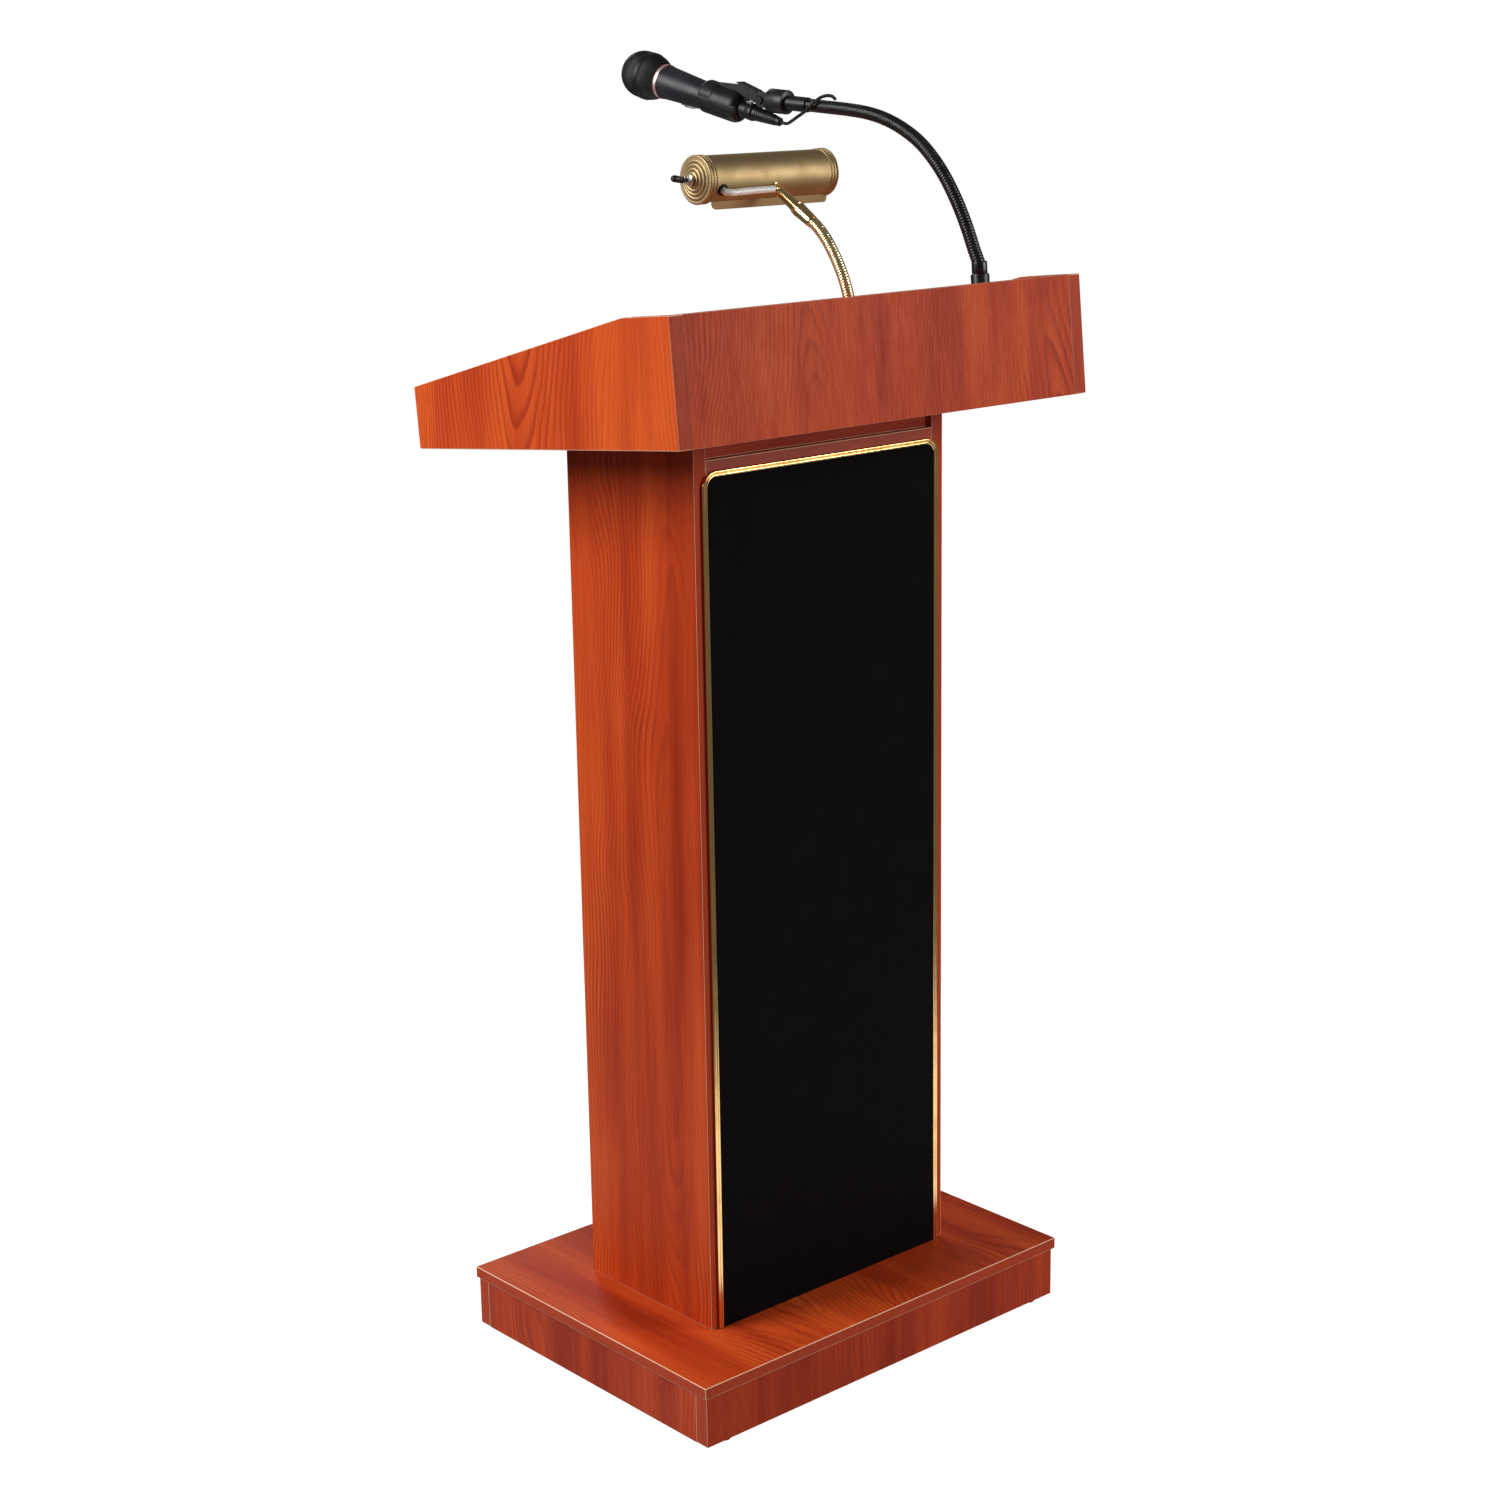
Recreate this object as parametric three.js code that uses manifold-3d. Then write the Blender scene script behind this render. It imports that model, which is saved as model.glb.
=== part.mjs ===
// A wooden floor-standing sound lectern: a plinth, a boxed column with a fabric speaker grille,
// a sloping desk, a reading lamp on a flexible brass neck and a microphone on a flexible black neck.
// Millimetres, +Z up, +X to the right seen from the grille side (the audience), +Y towards the speaker.
// While it is built, y = 0 is the lower front edge of the desk; at the end the whole lectern is moved
// so that the origin is the middle of its bounds, on the floor.
import * as THREE from "three";
import { mergeVertices } from "three/addons/utils/BufferGeometryUtils.js";
import Module from "manifold-3d";

const wasm = await Module();
wasm.setup();

// ---------------------------------------------------------------- driving dimensions
const gap = 0.3; // clearance between touching pieces
const board = 16; // laminated board
const overallHeight = 1168; // floor to the desk's top front edge

const desk = {
  width: 563.6,
  depth: 423.7,
  frontHeight: 125.4,
  backHeight: 64.5,
  ledge: 70, // depth of the flat top at the front
  recess: 25, // reading surface below the side panels' top
  innerBoard: 12,
  backClearance: 1.5, // from the sloping surface to the back board, so that a flat thing can lie on all of it
  tilt: THREE.MathUtils.degToRad(5.4),
};
const column = { width: 349.4, depth: 203.4, front: 107.6, topBoard: 993.6, railSetback: 6 };
const plinth = { width: 530.4, depth: 399, front: 12.4, top: 71.8, board: 13 };
const skirt = { sideInset: 3.2, frontInset: 2.9, backInset: 1.9 };
const glide = { radius: 7, height: 2, fromSide: 30 };
const grille = { proud: 3.2, thickness: 9.6, top: 999, corner: 18 };
const trim = { width: 6.5, outer: 165.5, proud: 4 }; // the bead round the grille
const speaker = { cutOut: 58, rim: 66, depth: 62, heights: [600, 760] };
const bays = { shelf: 250, chamberFloor: 445, amplifierShelf: 877 };
const amplifier = { width: 300, front: 150, height: 91, sheet: 1.5, plate: 3, panelSetback: 14.7 };
const knob = { radius: 11, height: 13, shaft: 3, shaftLength: 8, z: 940, xs: [-20, 40] };
const rocker = { x: 115, width: 20, height: 12.4, z: 940, rest: THREE.MathUtils.degToRad(-6) };
const inlet = { x: -115, z: 940, width: 30, height: 22, proud: 2 }; // mains inlet on the control panel
const rearPanel = { thickness: 10, setback: 8 }; // the board that closes the speaker chamber
const storageSetback = 11; // the storage shelf's edge, behind the column's

const lamp = { x: 0, ledge: 54.5, ferrule: 8, neckRadius: 6, fittingAngle: THREE.MathUtils.degToRad(30.5) };
const shade = { radius: 23.8, wall: 1.2, halfLength: 85, capDepth: 8, rim: 24.3, lip: 8.5 };
const bulb = { radius: 12.5, length: 96 };

const mic = { x: 176, base: 53.3, ledge: 42.2, flange: 33, turn: THREE.MathUtils.degToRad(7), neckRadius: 7 };
const micAxis = { y: 272, z: 1323.5, tilt: THREE.MathUtils.degToRad(14.1) }; // the plug's rear end
const clipPivot = { y: 294, z: 1346.9 };
const bend = THREE.MathUtils.degToRad(11); // half of the wedge cut between two neck segments

// ---------------------------------------------------------------- materials
const finish = (color, roughness, metalness = 0) =>
  new THREE.MeshStandardMaterial({ color, roughness, metalness });
const cherry = () => finish(0xa8431c, 0.45);
const edging = () => finish(0x8e3820, 0.5);
const fabric = () => finish(0x0a0a0b, 0.95);
const brass = () => finish(0xd9b25a, 0.2, 1);
const antiqueGold = () => finish(0xa98b45, 0.4, 0.9);
const blackPlastic = () => finish(0x1b1c20, 0.45);
const blackSteel = () => finish(0x151517, 0.4, 0.6);
const chrome = () => finish(0xc8c8cc, 0.12, 1);
const whiteSleeve = () => finish(0xdcdcd8, 0.4);
const rubber = () => finish(0x101012, 0.8);

// ---------------------------------------------------------------- helpers
const lectern = new THREE.Group();
const X = new THREE.Vector3(1, 0, 0);
const Y = new THREE.Vector3(0, 1, 0);
const Z = new THREE.Vector3(0, 0, 1);

function add(parent, name, geometry, material) {
  const mesh = new THREE.Mesh(geometry, material);
  mesh.name = name;
  parent.add(mesh);
  return mesh;
}

function boxGeometry([x0, x1], [y0, y1], [z0, z1]) {
  const geometry = new THREE.BoxGeometry(x1 - x0, y1 - y0, z1 - z0);
  return geometry.translate((x0 + x1) / 2, (y0 + y1) / 2, (z0 + z1) / 2);
}

// A polygon in the YZ plane, extruded from x0 to x1.
function sectionGeometry(points, x0, x1) {
  const shape = new THREE.Shape(points.map(([y, z]) => new THREE.Vector2(y, z)));
  const geometry = new THREE.ExtrudeGeometry(shape, { depth: x1 - x0, bevelEnabled: false });
  return geometry.applyMatrix4(new THREE.Matrix4().makeBasis(Y, Z, X)).translate(x0, 0, 0);
}

// A shape in the XZ plane, extruded from y0 to y1.
function panelGeometry(shape, y0, y1, curveSegments = 8) {
  const geometry = new THREE.ExtrudeGeometry(shape, { depth: y1 - y0, bevelEnabled: false, curveSegments });
  return geometry.rotateX(Math.PI / 2).translate(0, y1, 0);
}

// A profile of [radius, height] pairs, turned about +Z.
function turnedGeometry(profile, segments = 24) {
  const points = profile.map(([r, h]) => new THREE.Vector2(r, h));
  return new THREE.LatheGeometry(points, segments).rotateX(Math.PI / 2);
}

const alongX = (geometry) => geometry.rotateY(Math.PI / 2);
const alongY = (geometry) => geometry.rotateX(-Math.PI / 2);

function solidOf(geometry) {
  const bare = geometry.clone();
  for (const key of Object.keys(bare.attributes)) if (key !== "position") bare.deleteAttribute(key);
  const merged = mergeVertices(bare, 1e-4);
  return new wasm.Manifold(
    new wasm.Mesh({
      numProp: 3,
      vertProperties: merged.attributes.position.array,
      triVerts: new Uint32Array(merged.index.array),
    }),
  );
}

function geometryOf(solid) {
  const mesh = solid.getMesh();
  const geometry = new THREE.BufferGeometry();
  geometry.setAttribute("position", new THREE.BufferAttribute(new Float32Array(mesh.vertProperties), 3));
  geometry.setIndex(new THREE.BufferAttribute(new Uint32Array(mesh.triVerts), 1));
  const faceted = geometry.toNonIndexed();
  faceted.computeVertexNormals();
  return faceted;
}

function roundSection(radius, sides) {
  const centre = new THREE.Vector2();
  const corner = (i) => new THREE.Vector2(radius, 0).rotateAround(centre, (i * 2 * Math.PI) / sides);
  return new THREE.Shape(Array.from({ length: sides }, (_, i) => corner(i)));
}

const tubeGeometry = (path, radius, sides, steps) =>
  new THREE.ExtrudeGeometry(roundSection(radius, sides), { extrudePath: path, steps, bevelEnabled: false });

// The stretch of a curve between two fractions of its length.
class Stretch extends THREE.Curve {
  constructor(curve, from, to) {
    super();
    Object.assign(this, { curve, from, to });
  }
  getPoint(t, target = new THREE.Vector3()) {
    return this.curve.getPointAt(this.from + t * (this.to - this.from), target);
  }
}

// One link of a flexible neck. Where it meets another link its end is a blunt cone,
// so that two links can bend towards each other without touching.
function neckLink(curve, from, to, radius, { openStart, openEnd }) {
  let link = solidOf(tubeGeometry(new Stretch(curve, from, to), radius, 16, 5));
  const reach = radius + 2;
  const drop = gap / 2 + reach * Math.tan(bend);
  const wedge = turnedGeometry([[0, -gap / 2], [reach, -drop], [reach, drop], [0, gap / 2]], 16);
  const cutAt = (u) => {
    const facing = new THREE.Quaternion().setFromUnitVectors(Z, curve.getTangentAt(u));
    return solidOf(wedge.clone().applyQuaternion(facing).translate(...curve.getPointAt(u).toArray()));
  };
  if (openStart) link = link.subtract(cutAt(from));
  if (openEnd) link = link.subtract(cutAt(to));
  return link;
}

const planeCurve = (points) =>
  new THREE.CatmullRomCurve3(points.map(([y, z]) => new THREE.Vector3(0, y, z)), false, "centripetal");

// ---------------------------------------------------------------- plinth
function buildPlinth() {
  const half = plinth.width / 2;
  const back = plinth.front + plinth.depth;
  const underside = plinth.top - plinth.board;
  add(lectern, "base_top_board",
    boxGeometry([-half, half], [plinth.front, back], [underside, plinth.top]), cherry());

  const side = half - skirt.sideInset;
  const front = plinth.front + skirt.frontInset;
  const rear = back - skirt.backInset;
  const height = [glide.height + gap, underside - gap];
  add(lectern, "base_skirt_front", boxGeometry([-side, side], [front, front + board], height), cherry());
  add(lectern, "base_skirt_rear", boxGeometry([-side, side], [rear - board, rear], height), cherry());
  const between = [front + board + gap, rear - board - gap];
  add(lectern, "base_skirt_left", boxGeometry([-side, board - side], between, height), cherry());
  add(lectern, "base_skirt_right", boxGeometry([side - board, side], between, height), cherry());

  const rounding = 0.8;
  const disc = [
    [0, 0], [glide.radius - rounding, 0], [glide.radius, rounding], [glide.radius, glide.height],
    [0, glide.height],
  ];
  const [nearFront, nearRear] = [front + board / 2, rear - board / 2];
  const corners = [[-1, nearFront], [1, nearFront], [-1, nearRear], [1, nearRear]];
  corners.forEach(([sign, y], i) => {
    const foot = add(lectern, `foot_glide_${i + 1}`, turnedGeometry(disc), rubber());
    foot.position.set(sign * (side - glide.fromSide), y, 0);
  });
}

// ---------------------------------------------------------------- column
const deskBottomZ = overallHeight - desk.frontHeight * Math.cos(desk.tilt);
const underDesk = (y) => deskBottomZ - y * Math.tan(desk.tilt) - gap * 1.2;
const columnBack = column.front + column.depth;
const inner = column.width / 2 - board - gap; // half the width of a board between the sides
const baffleFront = column.front - grille.proud + grille.thickness + gap;
const baffleBack = baffleFront + board;

function buildColumn() {
  const foot = plinth.top + gap;
  const half = column.width / 2;
  const sideSection = [
    [column.front, foot],
    [columnBack, foot],
    [columnBack, underDesk(columnBack)],
    [column.front, underDesk(column.front)],
  ];
  add(lectern, "column_side_left", sectionGeometry(sideSection, -half, board - half), cherry());
  add(lectern, "column_side_right", sectionGeometry(sideSection, half - board, half), cherry());

  const topBoard = [column.topBoard, column.topBoard + board];
  const cover = boxGeometry([-inner, inner], [column.front, columnBack], topBoard);
  add(lectern, "column_top_board", cover, edging());

  const railFront = column.front + column.railSetback;
  const railSection = [
    [railFront, topBoard[1] + gap],
    [railFront + board, topBoard[1] + gap],
    [railFront + board, underDesk(railFront + board)],
    [railFront, underDesk(railFront)],
  ];
  add(lectern, "column_front_rail", sectionGeometry(railSection, -inner, inner), cherry());

  const shelfDepth = [baffleBack + gap, columnBack];
  const shelf = (z) => boxGeometry([-inner, inner], shelfDepth, [z, z + board]);
  add(lectern, "chamber_floor", shelf(bays.chamberFloor), cherry());
  add(lectern, "amplifier_shelf", shelf(bays.amplifierShelf), cherry());
  const storageDepth = [baffleBack + gap, columnBack - storageSetback];
  const storage = boxGeometry([-inner, inner], storageDepth, [bays.shelf, bays.shelf + board]);
  add(lectern, "storage_shelf", storage, cherry());

  const panelBack = columnBack - rearPanel.setback;
  const chamber = [bays.chamberFloor + board + gap, bays.amplifierShelf - gap];
  const rear = boxGeometry([-inner, inner], [panelBack - rearPanel.thickness, panelBack], chamber);
  add(lectern, "speaker_rear_panel", rear, cherry());
}

// ---------------------------------------------------------------- grille and speakers
// A rectangle standing on its lower edge, with its two top corners rounded.
function roundTopped(half, bottom, top, corner, shape = new THREE.Shape()) {
  shape.moveTo(-half, bottom);
  shape.lineTo(half, bottom);
  shape.lineTo(half, top - corner);
  shape.absarc(half - corner, top - corner, corner, 0, Math.PI / 2);
  shape.lineTo(corner - half, top);
  shape.absarc(corner - half, top - corner, corner, Math.PI / 2, Math.PI);
  return shape;
}

// A hoop of the same outline, open at the bottom.
function roundToppedHoop(outer, width, bottom, top, corner) {
  const shape = new THREE.Shape();
  const insideHalf = outer - width;
  const insideCorner = corner - width;
  shape.moveTo(outer, bottom);
  shape.lineTo(outer, top - corner);
  shape.absarc(outer - corner, top - corner, corner, 0, Math.PI / 2);
  shape.lineTo(corner - outer, top);
  shape.absarc(corner - outer, top - corner, corner, Math.PI / 2, Math.PI);
  shape.lineTo(-outer, bottom);
  shape.lineTo(-insideHalf, bottom);
  shape.lineTo(-insideHalf, top - corner);
  shape.absarc(corner - outer, top - corner, insideCorner, Math.PI, Math.PI / 2, true);
  shape.lineTo(outer - corner, top - width);
  shape.absarc(outer - corner, top - corner, insideCorner, Math.PI / 2, 0, true);
  shape.lineTo(insideHalf, bottom);
  return shape;
}

function buildGrille() {
  const foot = plinth.top + gap;
  const front = column.front - grille.proud;
  const panelTop = grille.top - trim.width - gap;
  const panel = roundTopped(inner, foot, panelTop, grille.corner - trim.width);
  add(lectern, "grille_panel", panelGeometry(panel, front, front + grille.thickness), fabric());

  const hoop = roundToppedHoop(trim.outer, trim.width, foot, grille.top, grille.corner);
  add(lectern, "grille_trim",
    panelGeometry(hoop, column.front - trim.proud, column.front - gap), brass());

  const baffle = new THREE.Shape();
  const top = column.topBoard - gap;
  baffle.moveTo(-inner, foot).lineTo(inner, foot).lineTo(inner, top).lineTo(-inner, top);
  for (const z of speaker.heights)
    baffle.holes.push(new THREE.Path().absarc(0, z, speaker.cutOut, 0, 2 * Math.PI));
  add(lectern, "speaker_baffle", panelGeometry(baffle, baffleFront, baffleBack, 12), edging());

  const driver = [
    [0, 14], [14, 10], [18, 22], [56, 3], [58, 0.4], [speaker.rim, 0], [speaker.rim, 4], [58, 6],
    [40, 34], [40, speaker.depth], [0, speaker.depth],
  ];
  ["speaker_lower", "speaker_upper"].forEach((name, i) => {
    const mesh = add(lectern, name, alongY(turnedGeometry(driver)), blackSteel());
    mesh.position.set(0, baffleBack + gap, speaker.heights[i]);
  });
}

// ---------------------------------------------------------------- amplifier and its control panel
function buildAmplifier() {
  const plateBack = columnBack - amplifier.panelSetback;
  const plateFront = plateBack - amplifier.plate;
  const floor = bays.amplifierShelf + board + gap;
  const half = amplifier.width / 2;
  const t = amplifier.sheet;
  const ceiling = floor + amplifier.height;
  const shell = solidOf(boxGeometry([-half, half], [amplifier.front, plateFront - gap], [floor, ceiling]));
  const hollow = solidOf(
    boxGeometry([t - half, half - t], [amplifier.front + t, plateBack], [floor + t, ceiling - t]));
  add(lectern, "amplifier_chassis", geometryOf(shell.subtract(hollow)), blackSteel());

  const plate = new THREE.Shape();
  const top = column.topBoard - gap;
  plate.moveTo(-inner, floor).lineTo(inner, floor).lineTo(inner, top).lineTo(-inner, top);
  for (const x of knob.xs) {
    plate.holes.push(new THREE.Path().absarc(x, knob.z, knob.shaft + gap, 0, 2 * Math.PI));
  }
  const [w, h] = [rocker.width / 2 + gap, rocker.height / 2 + 0.8];
  const rockerHole = [[-w, -h], [w, -h], [w, h], [-w, h]];
  plate.holes.push(new THREE.Path(rockerHole.map(([x, z]) => new THREE.Vector2(rocker.x + x, rocker.z + z))));
  const [inletWidth, inletHeight] = [inlet.width / 2, inlet.height / 2];
  const inletRim = boxGeometry(
    [inlet.x - inletWidth, inlet.x + inletWidth], [plateFront, plateBack + inlet.proud],
    [inlet.z - inletHeight, inlet.z + inletHeight]);
  const faceplate = solidOf(panelGeometry(plate, plateFront, plateBack)).add(solidOf(inletRim));
  add(lectern, "amplifier_faceplate", geometryOf(faceplate), blackSteel());

  const knobProfile = [
    [0, -knob.shaftLength], [knob.shaft, -knob.shaftLength], [knob.shaft, gap], [knob.radius, gap],
    [knob.radius - 1, knob.height - 1.5], [knob.radius - 2.5, knob.height], [0, knob.height],
  ];
  ["mic_level_knob", "aux_level_knob"].forEach((name, i) => {
    const mesh = add(lectern, name, alongY(turnedGeometry(knobProfile, 20)), blackPlastic());
    mesh.position.set(knob.xs[i], plateBack, knob.z);
  });

  const [rim, root] = [rocker.height / 2, rocker.height / 2 - 1.7];
  const rockerSection = [[-6, -root], [3.2, -rim], [2, 0], [3.2, rim], [-6, root]];
  const keyBody = sectionGeometry(rockerSection, -rocker.width / 2, rocker.width / 2);
  const key = add(lectern, "amplifier_power_rocker", keyBody, blackPlastic());
  key.position.set(rocker.x, plateBack - gap, rocker.z);
  key.rotation.x = rocker.rest;
}

// ---------------------------------------------------------------- desk, in its own tilted frame
const deskFrame = new THREE.Group();
deskFrame.position.z = deskBottomZ;
deskFrame.rotation.x = -desk.tilt;
lectern.add(deskFrame);
const deskSlope = (desk.frontHeight - desk.backHeight) / (desk.depth - desk.ledge);
const deskTop = (y) => desk.frontHeight - Math.max(0, y - desk.ledge) * deskSlope;
const ledgeTop = desk.frontHeight - desk.recess;

// A point on the line that stands square on the ledge at the given distance from the desk's front, as [y, z].
function aboveLedge(fromFront, height) {
  const [cos, sin] = [Math.cos(desk.tilt), Math.sin(desk.tilt)];
  const up = ledgeTop + height;
  return [fromFront * cos + up * sin, deskBottomZ - fromFront * sin + up * cos];
}

function buildDesk() {
  const half = desk.width / 2;
  const side = [
    [0, 0],
    [desk.depth, 0],
    [desk.depth, desk.backHeight],
    [desk.ledge, desk.frontHeight],
    [0, desk.frontHeight],
  ];
  add(deskFrame, "desk_side_left", sectionGeometry(side, -half, board - half), cherry());
  add(deskFrame, "desk_side_right", sectionGeometry(side, half - board, half), cherry());

  const between = half - board - gap;
  const back = desk.depth - board;
  const across = [-between, between];
  add(deskFrame, "desk_front_board", boxGeometry(across, [0, board], [0, desk.frontHeight]), cherry());
  const backSection = [[back, 0], [desk.depth, 0], [desk.depth, desk.backHeight], [back, deskTop(back)]];
  add(deskFrame, "desk_back_board", sectionGeometry(backSection, ...across), cherry());
  add(deskFrame, "desk_bottom_board", boxGeometry(across, [board + gap, back - gap], [0, board]), cherry());

  const ledgeDepth = [board + gap, desk.ledge - gap / 2];
  const ledge = boxGeometry(across, ledgeDepth, [ledgeTop - desk.innerBoard, ledgeTop]);
  add(deskFrame, "desk_ledge_board", ledge, cherry());

  const from = desk.ledge + gap / 2;
  const to = back - desk.backClearance;
  const surface = (y) => deskTop(y) - desk.recess;
  const readingSection = [
    [from, surface(from) - desk.innerBoard],
    [to, surface(to) - desk.innerBoard],
    [to, surface(to)],
    [from, surface(from)],
  ];
  add(deskFrame, "reading_surface", sectionGeometry(readingSection, ...across), cherry());
}

// ---------------------------------------------------------------- reading lamp
// The neck's centre line: y, z in the lectern's frame. It starts square to the ledge.
const lampNeckFoot = lamp.ferrule + 2 * gap;
const lampNeck = planeCurve([aboveLedge(lamp.ledge, lampNeckFoot), aboveLedge(lamp.ledge, lampNeckFoot + 6),
  [68, 1163], [74, 1178.3], [82.2, 1193.2], [92.2, 1207.9], [103, 1220.2], [113.4, 1229], [119, 1232.3]]);
const fittingLength = 56;
const upwards = (angle) => new THREE.Vector3(0, Math.cos(angle), Math.sin(angle));
const fittingDirection = upwards(lamp.fittingAngle);
const ball = { radius: 3.4, offset: 61.5 }; // offset: from the fitting's start to the ball's centre
const shadeArm = { length: 28, angle: THREE.MathUtils.degToRad(26.5) }; // from the ball to the shade's axis

function buildLamp() {
  const foot = [[0, 0], [13, 0], [13, 2], [8.5, 3.5], [7.4, lamp.ferrule], [0, lamp.ferrule]];
  const ferrule = add(deskFrame, "lamp_base_ferrule", turnedGeometry(foot), brass());
  ferrule.position.set(lamp.x, lamp.ledge, ledgeTop + gap);

  const third = 1 / 3;
  [0, 1, 2].forEach((i) => {
    const ends = { openStart: i > 0, openEnd: i < 2 };
    const link = neckLink(lampNeck, i * third, (i + 1) * third, lamp.neckRadius, ends);
    add(lectern, `lamp_neck_${i + 1}`, geometryOf(link), brass()).position.x = lamp.x;
  });

  const start = lampNeck.getPointAt(1);
  const fitting = new THREE.Group();
  fitting.position.copy(start).addScaledVector(fittingDirection, gap);
  fitting.rotation.x = lamp.fittingAngle;
  lectern.add(fitting);
  const cone = [
    [0, 0], [6.2, 0], [7.6, 22], [7.6, 24], [7, 24.6], [7, 28], [6.3, 28.6], [5, fittingLength - 3],
    [5.3, fittingLength - 2.4], [5.3, fittingLength], [0, fittingLength],
  ];
  add(fitting, "lamp_neck_fitting", alongY(turnedGeometry(cone, 20)), brass());

  const shank = [[0, fittingLength + gap], [2.3, fittingLength + gap]];
  const round = Array.from({ length: 7 }, (_, i) => {
    const angle = THREE.MathUtils.degToRad(-47 + (i * 137) / 6);
    return [ball.radius * Math.cos(angle), ball.offset + ball.radius * Math.sin(angle)];
  });
  round[6][0] = 0;
  add(fitting, "lamp_knuckle", alongY(turnedGeometry([...shank, ...round], 16)), brass());
  buildShade(start);
}

const shadeCentre = new THREE.Vector3();
// A C-shaped wall, open towards the reading surface, with a straight lip along its lower front edge.
function shadeSection() {
  const [outside, inside] = [shade.radius, shade.radius - shade.wall];
  const [first, last, steps] = [-25, 248, 22];
  const arc = (radius, i) => {
    const angle = THREE.MathUtils.degToRad(first + ((last - first) * i) / steps);
    return [radius * Math.cos(angle), radius * Math.sin(angle)];
  };
  const outer = Array.from({ length: steps + 1 }, (_, i) => arc(outside, i));
  const innerArc = Array.from({ length: steps + 1 }, (_, i) => arc(inside, steps - i));
  const edge = outer[steps];
  const lip = [[edge[0], edge[1] - shade.lip], [edge[0] + shade.wall, edge[1] - shade.lip]];
  innerArc[0] = [edge[0] + shade.wall, innerArc[0][1]];
  return [...outer, ...lip, ...innerArc];
}

function buildShade(start) {
  shadeCentre.copy(start).addScaledVector(fittingDirection, gap + ball.offset);
  shadeCentre.addScaledVector(upwards(shadeArm.angle), shadeArm.length);
  const head = new THREE.Group();
  head.position.copy(shadeCentre);
  lectern.add(head);

  // the shallow cup that holds the ball stands on the wall
  const seat = shadeArm.length - shade.radius; // from the wall to the ball's centre
  const cup = turnedGeometry(
    [[0, -0.6], [5, -0.6], [5, seat - 0.6], [4, seat - 0.6], [2.6, seat - 2.9], [0, seat - 3.9]], 16);
  alongY(cup).rotateX(Math.PI).translate(0, -shade.radius, 0).rotateX(shadeArm.angle);
  const wall = solidOf(sectionGeometry(shadeSection(), -shade.halfLength, shade.halfLength));
  add(head, "lamp_shade", geometryOf(wall.add(solidOf(cup))), antiqueGold());

  const dome = [
    [3.3, 0], [shade.rim, 0], [shade.rim, 2], [shade.rim - 3, 3.2], [17, 5], [11, 6.8],
    [8, shade.capDepth], [3.3, shade.capDepth], [3.3, 0],
  ];
  const closedDome = [[0, 0], ...dome.slice(1, 7), [0, shade.capDepth]];
  const left = add(head, "lamp_end_cap_left", alongX(turnedGeometry(dome)), antiqueGold());
  left.rotation.z = Math.PI;
  left.position.x = -shade.halfLength - gap;
  const right = add(head, "lamp_end_cap_right", alongX(turnedGeometry(closedDome)), antiqueGold());
  right.position.x = shade.halfLength + gap;

  const socketLength = 30;
  const socket = [[0, 0], [14, 0], [14, socketLength], [0, socketLength]];
  const socketMesh = add(head, "lamp_socket", alongX(turnedGeometry(socket, 16)), blackPlastic());
  socketMesh.rotation.z = Math.PI;
  socketMesh.position.x = shade.halfLength;
  const glass = [
    [0, 0], [bulb.radius - 2, 0], [bulb.radius, 6], [bulb.radius, bulb.length - 10],
    [bulb.radius - 4, bulb.length - 3], [0, bulb.length],
  ];
  const bulbMesh = add(head, "lamp_bulb", alongX(turnedGeometry(glass, 16)), finish(0xf2ead2, 0.3));
  bulbMesh.rotation.z = Math.PI;
  bulbMesh.position.x = shade.halfLength - socketLength - gap;

  // toggle switch: its body inside the shade and its threaded bush through the left cap
  const [bodyLength, bushLength] = [16, 15.5];
  const bushEnd = bodyLength + bushLength;
  const nut = { height: 3.5, radius: 3.9 };
  const bush = [
    [0, 0], [8, 0], [8, bodyLength], [3, bodyLength],
    [3, bushEnd - nut.height], [nut.radius, bushEnd - nut.height], [nut.radius, bushEnd], [0, bushEnd],
  ];
  const body = add(head, "lamp_switch_body", alongX(turnedGeometry(bush, 16)), chrome());
  body.rotation.z = Math.PI;
  body.position.x = bodyLength - shade.halfLength;
  const bat = [[0, 0], [1.2, 0], [1.6, 3], [2.3, 15], [1.6, 17.5], [0, 18]];
  const lever = add(head, "lamp_switch_lever", alongX(turnedGeometry(bat, 12)), blackPlastic());
  lever.position.x = body.position.x - bushEnd - gap;
  lever.rotation.y = Math.PI + THREE.MathUtils.degToRad(10);

  buildLampWire();
}

// The sleeved wire from a hole in the shade's wall to the side of the knuckle.
function buildLampWire() {
  const points = [
    [-70.5, -22.7, -10.6], [-70.3, -25, -11.7], [-67.6, -27.6, -12.4], [-62, -28.6, -12.8],
    [-52, -28.4, -12.4], [-40, -28.2, -12.2], [-26, -28, -12], [-15, -27.6, -12], [-5.7, -27, -11.8],
  ];
  const placed = points.map(([x, y, z]) => new THREE.Vector3(x, shadeCentre.y + y, shadeCentre.z + z));
  const path = new THREE.CatmullRomCurve3(placed, false, "centripetal");
  add(lectern, "lamp_wire", tubeGeometry(path, 3.5, 10, 18), whiteSleeve());
}

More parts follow.
